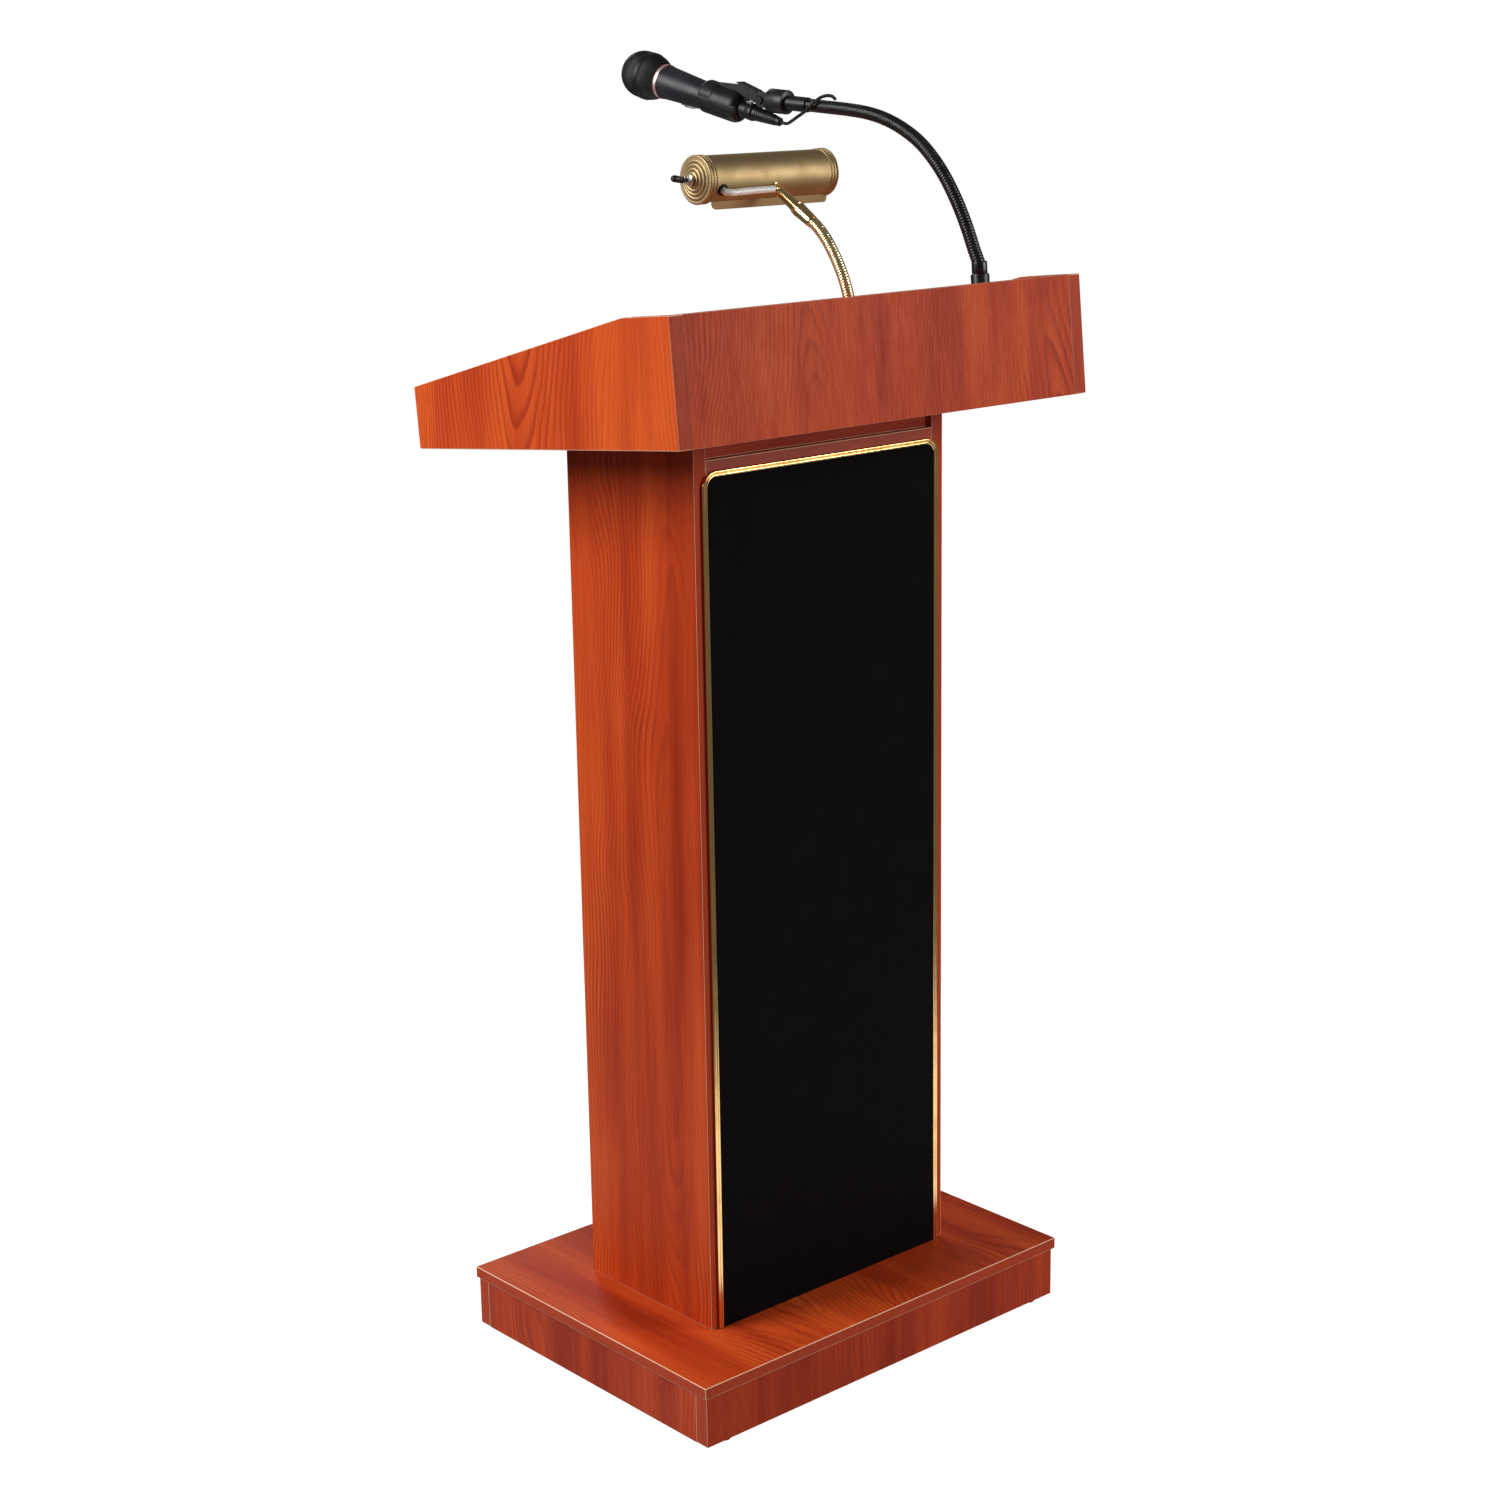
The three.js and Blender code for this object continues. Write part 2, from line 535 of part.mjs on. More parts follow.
// ---------------------------------------------------------------- microphone
// Centre line of the neck: y, z in the microphone's upright plane.
const micNeckFoot = (height) => {
  const [y, z] = aboveLedge(mic.ledge, mic.flange + 2 * gap + height);
  return [(y - mic.base) * Math.cos(mic.turn), z];
};
const micNeck = planeCurve([
  micNeckFoot(0), micNeckFoot(9), [8.5, 1196], [19.9, 1223], [34.6, 1251], [53.5, 1278.5], [78, 1303],
  [102, 1318], [126, 1328], [150, 1334], [176, 1337.3], [204, 1339.6], [234, 1341.9],
]);
const micFrame = new THREE.Group();
micFrame.position.set(mic.x, mic.base, 0);
micFrame.rotation.z = mic.turn;
lectern.add(micFrame);

function buildMicNeck() {
  const flange = [[0, 0], [22, 0], [22, 2.4], [11, 4], [9.8, 6], [9.8, mic.flange], [0, mic.flange]];
  const base = add(deskFrame, "mic_base_flange", turnedGeometry(flange), blackSteel());
  base.position.set(mic.x, mic.ledge, ledgeTop + gap);

  const ferrule = (curve, u, profile) => {
    const facing = new THREE.Quaternion().setFromUnitVectors(Z, curve.getTangentAt(u));
    const turned = turnedGeometry(profile, 20).applyQuaternion(facing);
    return solidOf(turned.translate(...curve.getPointAt(u).toArray()));
  };
  const lower = ferrule(micNeck, 0, [[0, 0], [8.1, 0], [8.1, 12], [7.6, 13], [0, 13]]);
  const upper = ferrule(micNeck, 1, [[0, -2], [8, -1], [8, 26.4], [0, 26.4]]);
  const quarter = 1 / 4;
  [0, 1, 2, 3].forEach((i) => {
    const ends = { openStart: i > 0, openEnd: i < 3 };
    let link = neckLink(micNeck, i * quarter, (i + 1) * quarter, mic.neckRadius, ends);
    if (i === 0) link = link.add(lower);
    if (i === 3) link = link.add(upper);
    add(micFrame, `mic_neck_${i + 1}`, geometryOf(link), blackSteel());
  });
}

// The clip's threaded socket, in line with the neck's end, with a fork and a pin for the clip.
function buildClipSocket() {
  const frame = new THREE.Group();
  frame.position.set(0, clipPivot.y, clipPivot.z);
  frame.rotation.x = Math.asin(micNeck.getTangentAt(1).z);
  micFrame.add(frame);
  const barrelLength = 24.4;
  const barrel = alongY(turnedGeometry(
    [[0, 0], [12.2, 0], [13, 1], [13, barrelLength - 1], [12.2, barrelLength], [0, barrelLength]], 24));
  let socket = solidOf(barrel.translate(0, -barrelLength - 8.6, 0));
  const ear = { half: 2.3, radius: 8.2, offset: 6.3 };
  const disc = [[0, -ear.half], [ear.radius, -ear.half], [ear.radius, ear.half], [0, ear.half]];
  for (const side of [-1, 1]) {
    const round = alongX(turnedGeometry(disc, 20)).translate(side * ear.offset, 0, 0);
    const web = boxGeometry([-ear.half, ear.half], [-10, 0], [-8, 8]).translate(side * ear.offset, 0, 0);
    socket = socket.add(solidOf(round)).add(solidOf(web));
  }
  const pin = alongX(turnedGeometry([[0, -10], [2.3, -10], [2.3, 10], [0, 10]], 12));
  const head = alongX(turnedGeometry([[0, -11], [4.4, -11], [4.4, -8], [0, -8]], 12));
  socket = socket.add(solidOf(pin)).add(solidOf(head));
  add(frame, "mic_clip_socket", geometryOf(socket), blackPlastic());
}

const micBody = new THREE.Group(); // its +Y runs along the microphone, from the plug to the head
micBody.position.set(0, micAxis.y, micAxis.z);
micBody.rotation.x = micAxis.tilt;
micFrame.add(micBody);
const tail = 57; // where the handle begins
const ringAt = 178; // where the handle ends
const switchAt = 132;
const handleRadius = (t) => 12.6 + (t - 62) * 0.0537;

function buildClip() {
  const cos = Math.cos(micAxis.tilt);
  const sin = Math.sin(micAxis.tilt);
  const [dy, dz] = [clipPivot.y - micAxis.y, clipPivot.z - micAxis.z];
  const [pivotY, pivotZ] = [dy * cos + dz * sin, dz * cos - dy * sin];
  const [from, to] = [61, 106];
  const clear = (t) => handleRadius(t) + 0.4;
  const sleeve = alongY(turnedGeometry([
    [clear(from), from], [16.6, from], [18.8, from + 5], [18.9, to - 4], [17.6, to], [clear(to), to],
    [clear(from), from],
  ], 28));
  const slot = boxGeometry([-30, 0], [from - 1, to + 1], [-6, 2]);

  const halfArm = 3.5;
  const armSection = [
    [pivotY, pivotZ - 7], [56, 13.4], [62, 15.2], [92, 17.2], [92, 20.2], [64, 21.4], [pivotY, pivotZ + 7],
  ];
  const arm = sectionGeometry(armSection, -halfArm, halfArm);
  const thumb = { from: 37, to: 66, half: 6.5 }; // the flat lever that opens the clip
  const leverSection = [
    [pivotY - 3, pivotZ + 4.6], [thumb.to, pivotZ + 8.6],
    [thumb.to, pivotZ + 10.6], [pivotY - 3, pivotZ + 6.6],
  ];
  const lever = solidOf(sectionGeometry(leverSection, -thumb.half, thumb.half))
    .intersect(solidOf(boxGeometry([-thumb.half, thumb.half], [thumb.from, thumb.to], [0, 40])))
    .add(solidOf(sectionGeometry(leverSection, -halfArm, halfArm)));
  const acrossPivot = (radius, half, sides) => {
    const profile = [[0, -half], [radius, -half], [radius, half], [0, half]];
    return solidOf(alongX(turnedGeometry(profile, sides)).translate(0, pivotY, pivotZ));
  };
  const body = solidOf(sleeve).subtract(solidOf(slot)).add(solidOf(arm)).add(lever);
  const clip = body.add(acrossPivot(7.4, halfArm, 20)).subtract(acrossPivot(2.6, 9, 12));
  add(micBody, "mic_clip", geometryOf(clip), blackPlastic());
}

function buildMicrophone() {
  const handle = [
    [0, 71], [9.6, 71], [9.6, tail], [12, tail + 0.6], [handleRadius(62), 62],
    [handleRadius(ringAt - 7), ringAt - 7], [18.4, ringAt - 4], [18.4, ringAt], [0, ringAt],
  ];
  add(micBody, "mic_handle", alongY(turnedGeometry(handle, 28)), blackPlastic());

  const ballCentre = 209;
  const ball = 26;
  const crown = Array.from({ length: 8 }, (_, i) => {
    const angle = THREE.MathUtils.degToRad(-6 + (i * 96) / 7);
    return [ball * Math.cos(angle), ballCentre + ball * Math.sin(angle)];
  });
  crown[7][0] = 0;
  const basket = [
    [0, ringAt + gap], [18.6, ringAt + gap], [19.4, ringAt + 4], [24.6, ballCentre - 14],
    [26.4, ballCentre - 11], [26.4, ballCentre - 5],
  ];
  const head = [...basket, ...crown];
  add(micBody, "mic_head", alongY(turnedGeometry(head, 28)), blackSteel());

  const plug = [
    [0, 0], [4.2, 0], [6, 14], [7.6, 37], [9.4, 40], [9.4, 56.4], [9.2, 56.6], [9.2, 70.4], [0, 70.4],
  ];
  add(micBody, "mic_plug", alongY(turnedGeometry(plug, 20)), blackPlastic());

  const key = add(micBody, "mic_switch", boxGeometry([-4, 4], [-6.5, 6.5], [-1.8, 0]), blackPlastic());
  key.position.set(0, switchAt, -handleRadius(switchAt) - gap - 0.1);
  key.rotation.x = -Math.atan(0.0537);
}

// The short lead from the plug's boot, past the neck and over it into its upper side.
function buildMicCord() {
  const points = [
    [0, 271.5, 1323.35], [0, 266, 1322.1], [-1.2, 260.5, 1322.4], [-3, 254.5, 1324.4], [-5.2, 248, 1327],
    [-7.4, 241.5, 1329.6], [-9.3, 235, 1332.2], [-10.6, 229, 1335], [-11.2, 223.6, 1338.4],
    [-11, 218.8, 1342.2], [-9.8, 214.4, 1346], [-7.8, 210.2, 1349.2], [-5.3, 205.8, 1351.3],
    [-2.9, 201.2, 1351.9], [-1.2, 197, 1350.7], [-0.2, 193.8, 1347.6],
  ];
  const placed = points.map((p) => new THREE.Vector3(...p));
  const path = new THREE.CatmullRomCurve3(placed, false, "centripetal");
  add(micFrame, "mic_cord", tubeGeometry(path, 1.8, 8, 26), rubber());
}

buildPlinth();
buildColumn();
buildGrille();
buildAmplifier();
buildDesk();
buildLamp();
buildMicNeck();
buildClipSocket();
buildClip();
buildMicrophone();
buildMicCord();

const bounds = new THREE.Box3().setFromObject(lectern, true);
lectern.position.set(0, -(bounds.min.y + bounds.max.y) / 2, 0);

export default lectern;
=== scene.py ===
"""A wooden sound lectern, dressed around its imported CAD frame.

Boards keep their CAD meshes with rounded arrises and a laminate. The round metal and plastic pieces, the
flexible necks, the lamp head, the microphone, the cords and the control panel's fittings are modelled here.
Lengths are millimetres in the part's own construction frame, which LECTERN turns into metres in the scene.
"""
import random
from math import atan, atan2, cos, pi, radians, sin, sqrt

import bmesh
import bpy
from mathutils import Matrix, Vector


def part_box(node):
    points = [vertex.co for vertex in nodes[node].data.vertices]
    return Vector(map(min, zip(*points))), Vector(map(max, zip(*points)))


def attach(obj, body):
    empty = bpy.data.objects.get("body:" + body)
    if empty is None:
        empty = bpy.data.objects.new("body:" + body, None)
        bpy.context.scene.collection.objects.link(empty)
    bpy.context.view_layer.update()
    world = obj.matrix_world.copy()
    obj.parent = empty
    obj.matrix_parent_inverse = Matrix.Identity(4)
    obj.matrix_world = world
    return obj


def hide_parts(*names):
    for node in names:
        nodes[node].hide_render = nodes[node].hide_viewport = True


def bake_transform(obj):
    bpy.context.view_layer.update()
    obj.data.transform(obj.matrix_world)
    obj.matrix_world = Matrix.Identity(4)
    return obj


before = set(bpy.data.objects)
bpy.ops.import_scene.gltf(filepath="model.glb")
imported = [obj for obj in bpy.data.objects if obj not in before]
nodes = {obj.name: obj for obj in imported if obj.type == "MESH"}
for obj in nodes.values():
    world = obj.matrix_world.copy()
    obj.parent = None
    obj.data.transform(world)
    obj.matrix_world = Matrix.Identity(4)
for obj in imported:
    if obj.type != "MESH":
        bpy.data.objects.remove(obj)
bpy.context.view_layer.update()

scene = bpy.context.scene
MM = 0.001

# ---- frames
PLINTH_FRONT = 12.4  # the base board's front edge in the construction frame
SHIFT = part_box("base_top_board")[0].y / MM - PLINTH_FRONT
DESK_TILT = radians(5.4)
DESK_HEIGHT = 1168  # the desk's top front edge above the floor
FRONT_BOARD = 125.4  # the desk's front board, from its lower edge to its upper one
LEDGE_DEPTH = 25  # from the rim down to the ledge
DESK_BOTTOM = DESK_HEIGHT - FRONT_BOARD * cos(DESK_TILT)
LEDGE_TOP = FRONT_BOARD - LEDGE_DEPTH
LAMP_FROM_FRONT, MIC_FROM_FRONT = 54.5, 42.2  # the feet's distances from the desk's front, along the ledge
FITTING_ANGLE = radians(30.5)  # the rise of the lamp's cone
ARM_ANGLE = radians(26.5)  # the rise from the lamp's ball to its shade's axis
MIC_ACROSS, MIC_BACK = 176, 53.3  # the microphone's foot
MIC_TURN = radians(7)  # its neck's plane, turned about the foot
MIC_TILT = radians(14.1)  # the handle's rise
BOOT_END = (0, 272, 1323.5)  # the rear end of its plug, in the neck's plane
GAP = 0.3


def move(x, y, z):
    return Matrix.Translation((x, y, z))


def turn(angle, axis):
    return Matrix.Rotation(angle, 4, axis)


def slanted(angle):
    return Vector((0, cos(angle), sin(angle)))


ALONG_Y = turn(-pi / 2, "X")
ALONG_X = turn(pi / 2, "Y")
# for outlines drawn in (y, z) or (x, z) and drawn out along the third axis
PROFILE_ALONG_X = Matrix(((0, 0, 1, 0), (1, 0, 0, 0), (0, 1, 0, 0), (0, 0, 0, 1)))
UPRIGHT = Matrix(((1, 0, 0, 0), (0, 0, 1, 0), (0, 1, 0, 0), (0, 0, 0, 1)))
TO_METRES = Matrix.Scale(MM, 4)
LECTERN = TO_METRES @ move(0, SHIFT, 0)
DESK = LECTERN @ move(0, 0, DESK_BOTTOM) @ turn(-DESK_TILT, "X")

LAMP_NECK_END = Vector((0, 119, 1232.3))
BALL_OFFSET, ARM = 61.5, 28  # from the neck's end to the ball, and from the ball to the shade's axis
CONE_FOOT = LAMP_NECK_END + GAP * slanted(FITTING_ANGLE)
FITTING = LECTERN @ move(*CONE_FOOT) @ turn(FITTING_ANGLE, "X")
SHADE_CENTRE = LAMP_NECK_END + (GAP + BALL_OFFSET) * slanted(FITTING_ANGLE) + ARM * slanted(ARM_ANGLE)
HEAD = LECTERN @ move(*SHADE_CENTRE)

MIC = LECTERN @ move(MIC_ACROSS, MIC_BACK, 0) @ turn(MIC_TURN, "Z")
MIC_BODY = MIC @ move(*BOOT_END) @ turn(MIC_TILT, "X")


# ---- camera
CAMERA_PLACE = (-1906.87, -1940.64, 1422.72)
CAMERA_ANGLES = (-41.32, -14.77, -0.95)  # yaw, pitch and roll in degrees
FOCAL_LENGTH, SENSOR = 65.69, 36


def make_camera():
    """A long lens in front of the grille, to its left, a little above the desk."""
    yaw, pitch, roll = (radians(a) for a in CAMERA_ANGLES)
    forward = Vector((-sin(yaw) * cos(pitch), cos(yaw) * cos(pitch), sin(pitch)))
    level = forward.cross(Vector((0, 0, 1))).normalized()
    upright = level.cross(forward)
    right = cos(roll) * level + sin(roll) * upright
    up = cos(roll) * upright - sin(roll) * level
    data = bpy.data.cameras.new("camera")
    data.sensor_width, data.lens = SENSOR, FOCAL_LENGTH
    camera = bpy.data.objects.new("camera", data)
    camera.matrix_world = Matrix((right, up, -forward)).transposed().to_4x4()
    camera.location = LECTERN @ Vector(CAMERA_PLACE)
    scene.collection.objects.link(camera)
    scene.camera = camera


# ---- mesh helpers
MERGE_DISTANCE = 1e-7
WELD_DISTANCE = 2e-6
SPLINE_STEPS = 16


def build(name, shape, place=LECTERN, sharp=35):
    """A smooth object from (vertices, faces) in millimetres, with its normals outwards."""
    mesh = bpy.data.meshes.new(name)
    mesh.from_pydata(shape[0], [], shape[1])
    mesh.transform(place)
    work = bmesh.new()
    work.from_mesh(mesh)
    bmesh.ops.remove_doubles(work, verts=work.verts, dist=MERGE_DISTANCE)
    bmesh.ops.recalc_face_normals(work, faces=work.faces)
    work.to_mesh(mesh)
    work.free()
    mesh.shade_smooth()
    mesh.set_sharp_from_angle(angle=radians(sharp))
    made = bpy.data.objects.new(name, mesh)
    scene.collection.objects.link(made)
    return made


def dress(made, material, slot):
    made.data.materials.clear()
    made.data.materials.append(material)
    return made


def piece(name, shape, look, body, place=LECTERN, sharp=35, covers=None):
    """A rigid piece: look is (material, slot), whose slot is not used, and covers the CAD node it stands for.
    """
    made = dress(build(name, shape, place, sharp), *look)
    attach(made, body)
    if covers:
        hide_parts(covers)
    return made


def soften(made, width, segments=2, angle=30):
    """Round an object's arrises; the width is in millimetres."""
    weld = made.modifiers.new("weld", "WELD")
    weld.merge_threshold = WELD_DISTANCE
    bevel = made.modifiers.new("bevel", "BEVEL")
    bevel.width, bevel.segments = width * MM, segments
    bevel.limit_method, bevel.angle_limit = "ANGLE", radians(angle)
    bevel.harden_normals = True
    return made


def joined(*shapes):
    """Several (vertices, faces) as one."""
    vertices, faces = [], []
    for some, around in shapes:
        faces += [tuple(i + len(vertices) for i in face) for face in around]
        vertices += list(some)
    return vertices, faces


def moved(shape, matrix):
    return [matrix @ Vector(v) for v in shape[0]], shape[1]


def skin(rings, closed=False):
    """Skin a list of equal rings of points; open ends are capped."""
    count, vertices, faces = len(rings[0]), [p for ring in rings for p in ring], []
    pairs = list(zip(range(len(rings)), range(1, len(rings)))) + ([(len(rings) - 1, 0)] if closed else [])
    for a, b in pairs:
        for i in range(count):
            j = (i + 1) % count
            faces.append((a * count + i, a * count + j, b * count + j, b * count + i))
    if not closed:
        faces += [tuple(range(count))[::-1], tuple(range(len(vertices) - count, len(vertices)))]
    return vertices, faces


def lathe(profile, segments=64):
    """(radius, height) pairs turned about +Z. It starts and ends on the axis, or closes on itself."""
    on_axis = profile[0][0] == 0
    turned = profile[1:-1] if on_axis else profile
    angles = [2 * pi * i / segments for i in range(segments)]
    rings = [[Vector((r * cos(a), r * sin(a), h)) for a in angles] for r, h in turned]
    if not on_axis:
        return skin(rings, closed=True)
    vertices, faces = skin(rings)
    first, last = len(vertices), len(vertices) + 1
    vertices += [Vector((0, 0, profile[0][1])), Vector((0, 0, profile[-1][1]))]
    start = len(vertices) - 2 - segments
    faces = faces[:-2]
    for i in range(segments):
        j = (i + 1) % segments
        faces += [(first, j, i), (last, start + i, start + j)]
    return vertices, faces


def prism(outline, low, high):
    """An outline of (x, y) points, drawn out along +Z."""
    return skin([[Vector((x, y, z)) for x, y in outline] for z in (low, high)])


def side_plate(outline, low, high):
    """An outline of (y, z) points, drawn out along X."""
    return moved(prism(outline, low, high), PROFILE_ALONG_X)


def rounded_rim(sections):
    """A closed rim over rounded boxes of (width, height, corner, place along Z)."""
    rings = [[Vector((x, y, z)) for x, y in rounded_box(w, h, corner)] for w, h, corner, z in sections]
    return skin(rings, closed=True)


def block(x, y, z):
    """A box from three (low, high) pairs."""
    return prism([(x[0], y[0]), (x[1], y[0]), (x[1], y[1]), (x[0], y[1])], *z)


def arc(centre, radius, start, end, steps):
    """Points on an arc in degrees, both ends included."""
    angles = [radians(start + (end - start) * i / steps) for i in range(steps + 1)]
    return [(centre[0] + radius * cos(a), centre[1] + radius * sin(a)) for a in angles]


def bead_section(centre, radius):
    """The twelve points of a small round section."""
    return arc(centre, radius, 0, 330, 11)


def rounded_box(width, height, corner, steps=6):
    """The outline of a rectangle with round corners, round the origin."""
    w, h = width / 2 - corner, height / 2 - corner
    points = []
    for x, y, start in ((w, h, 0), (-w, h, 90), (-w, -h, 180), (w, -h, 270)):
        points += arc((x, y), corner, start, start + 90, steps)
    return points


def spline(points):
    """The centripetal Catmull-Rom curve through the points."""
    points = [Vector(p) for p in points]
    padded = [2 * points[0] - points[1], *points, 2 * points[-1] - points[-2]]
    line = []
    for p0, p1, p2, p3 in zip(padded, padded[1:], padded[2:], padded[3:]):
        d0, d1, d2 = ((b - a).length ** 0.5 for a, b in ((p0, p1), (p1, p2), (p2, p3)))
        start = ((p1 - p0) / d0 - (p2 - p0) / (d0 + d1) + (p2 - p1) / d1) * d1
        end = ((p2 - p1) / d1 - (p3 - p1) / (d1 + d2) + (p3 - p2) / d2) * d1
        for k in range(SPLINE_STEPS):
            t = k / SPLINE_STEPS
            line.append(
                p1 * (2 * t**3 - 3 * t**2 + 1) + start * (t**3 - 2 * t**2 + t)
                + p2 * (3 * t**2 - 2 * t**3) + end * (t**3 - t**2))
    return [*line, points[-1]]


def evenly(line, step):
    """The line again, with points about step apart."""
    lengths = [0]
    for a, b in zip(line, line[1:]):
        lengths.append(lengths[-1] + (b - a).length)
    count = max(2, round(lengths[-1] / step))
    made, i = [], 0
    for k in range(count + 1):
        at = lengths[-1] * k / count
        while i < len(line) - 2 and lengths[i + 1] < at:
            i += 1
        share = (at - lengths[i]) / max(lengths[i + 1] - lengths[i], 1e-9)
        made.append(line[i].lerp(line[i + 1], min(1, share)))
    return made


def frames_along(line):
    """A tangent and two square directions at every point, with the least twist."""
    tangents = [(b - a).normalized() for a, b in zip(line, line[1:])]
    tangents = [tangents[0], *((a + b).normalized() for a, b in zip(tangents, tangents[1:])), tangents[-1]]
    side = Vector((1, 0, 0))
    made = []
    for tangent in tangents:
        side = (side - side.dot(tangent) * tangent).normalized()
        made.append((tangent, side, tangent.cross(side)))
    return made


def tube_rings(line, radius, sides):
    """Rings round a line; radius is a number or a function of (distance along, angle)."""
    rings, along = [], 0
    for i, (point, (_, side, other)) in enumerate(zip(line, frames_along(line))):
        along += (point - line[i - 1]).length if i else 0
        ring = []
        for k in range(sides):
            a = 2 * pi * k / sides
            r = radius(along, a) if callable(radius) else radius
            ring.append(point + r * (cos(a) * side + sin(a) * other))
        rings.append(ring)
    return rings


# ---- materials
class Look:
    """A procedural material on a Principled BSDF."""

    def __init__(self, name, **values):
        self.material = bpy.data.materials.new(name)
        self.material.use_nodes = True
        self.tree = self.material.node_tree
        self.shader = self.tree.nodes["Principled BSDF"]
        for key, value in values.items():
            self.shader.inputs[key.replace("_", " ")].default_value = value

    def node(self, kind, inputs=(), **settings):
        made = self.tree.nodes.new("ShaderNode" + kind)
        for key, value in settings.items():
            setattr(made, key, value)
        for key, value in dict(inputs).items():
            if isinstance(value, bpy.types.NodeSocket):
                self.tree.links.new(value, made.inputs[key])
            else:
                made.inputs[key].default_value = value
        return made

    def math(self, operation, *values):
        return self.node("Math", dict(enumerate(values)), operation=operation).outputs[0]

    def add(self, a, b):
        return self.math("ADD", a, b)

    def times(self, a, b):
        return self.math("MULTIPLY", a, b)

    def points(self):
        return self.node("TexCoord").outputs["Object"]

    def normal(self):
        return self.node("TexCoord").outputs["Normal"]

    def stretched(self, vector, scale, offset=(0, 0, 0)):
        scaled = self.node("VectorMath", {0: vector, 1: scale}, operation="MULTIPLY")
        return self.node("VectorMath", {0: scaled.outputs[0], 1: offset}, operation="ADD").outputs[0]

    def noise(self, vector, scale=1, detail=2, roughness=0.5):
        values = {"Vector": vector, "Scale": scale, "Detail": detail, "Roughness": roughness}
        return self.node("TexNoise", values).outputs[0]

    def clouds(self, scale, detail):
        return self.noise(self.points(), scale, detail)

    def ramp(self, value, stops, interpolation="EASE"):
        made = self.node("ValToRGB", {0: value})
        made.color_ramp.interpolation = interpolation
        elements = made.color_ramp.elements
        while len(elements) < len(stops):
            elements.new(0.5)
        for element, (at, color) in zip(elements, stops):
            element.position = at
            element.color = color if len(color) == 4 else (*color, 1)
        return made.outputs[0]

    def band(self, value, low, high, to_low=0, to_high=1):
        values = {"Value": value, "From Min": low, "From Max": high, "To Min": to_low, "To Max": to_high}
        return self.node("MapRange", values, interpolation_type="SMOOTHSTEP").outputs[0]

    def mix(self, share, a, b):
        return self.node("Mix", {0: share, 6: a, 7: b}, data_type="RGBA").outputs[2]

    def color(self, value):
        self.tree.links.new(value, self.shader.inputs["Base Color"])

    def roughness(self, value):
        self.tree.links.new(value, self.shader.inputs["Roughness"])

    def bump(self, height, distance, strength=1.0):
        made = self.node("Bump", {"Height": height, "Distance": distance, "Strength": strength})
        self.tree.links.new(made.outputs[0], self.shader.inputs["Normal"])


def rgb(r, g, b):
    return (r, g, b, 1)


LIGHT_WOOD, MID_WOOD, DARK_WOOD = rgb(0.72, 0.108, 0.019), rgb(0.53, 0.058, 0.011), rgb(0.30, 0.022, 0.005)
BANDING = rgb(0.46, 0.052, 0.014)
# the arrises' paler trimmed edge, brightened further as a painted highlight
ARRIS_TRIM_AND_HIGHLIGHT = rgb(0.95, 0.56, 0.36)
RINGS_PER_METRE = 185
THREAD_PITCH = 0.0011
AXES = {"X": (1, 0, 0), "Y": (0, 1, 0), "Z": (0, 0, 1)}
SIDES = ("front", "rear", "left", "right")


def arris_highlight_share(look):
    """1 on the rounded arrises, where the shading normal faces no axis, and 0 on flat faces: the mask for the
    arrises' paler trimmed edge and their painted highlight.
    """
    unsigned = look.node("VectorMath", {0: look.normal()}, operation="ABSOLUTE")
    parts = look.node("SeparateXYZ", {0: unsigned.outputs[0]})
    largest = look.math("MAXIMUM", look.math("MAXIMUM", parts.outputs[0], parts.outputs[1]), parts.outputs[2])
    return look.band(largest, 0.99, 0.94)


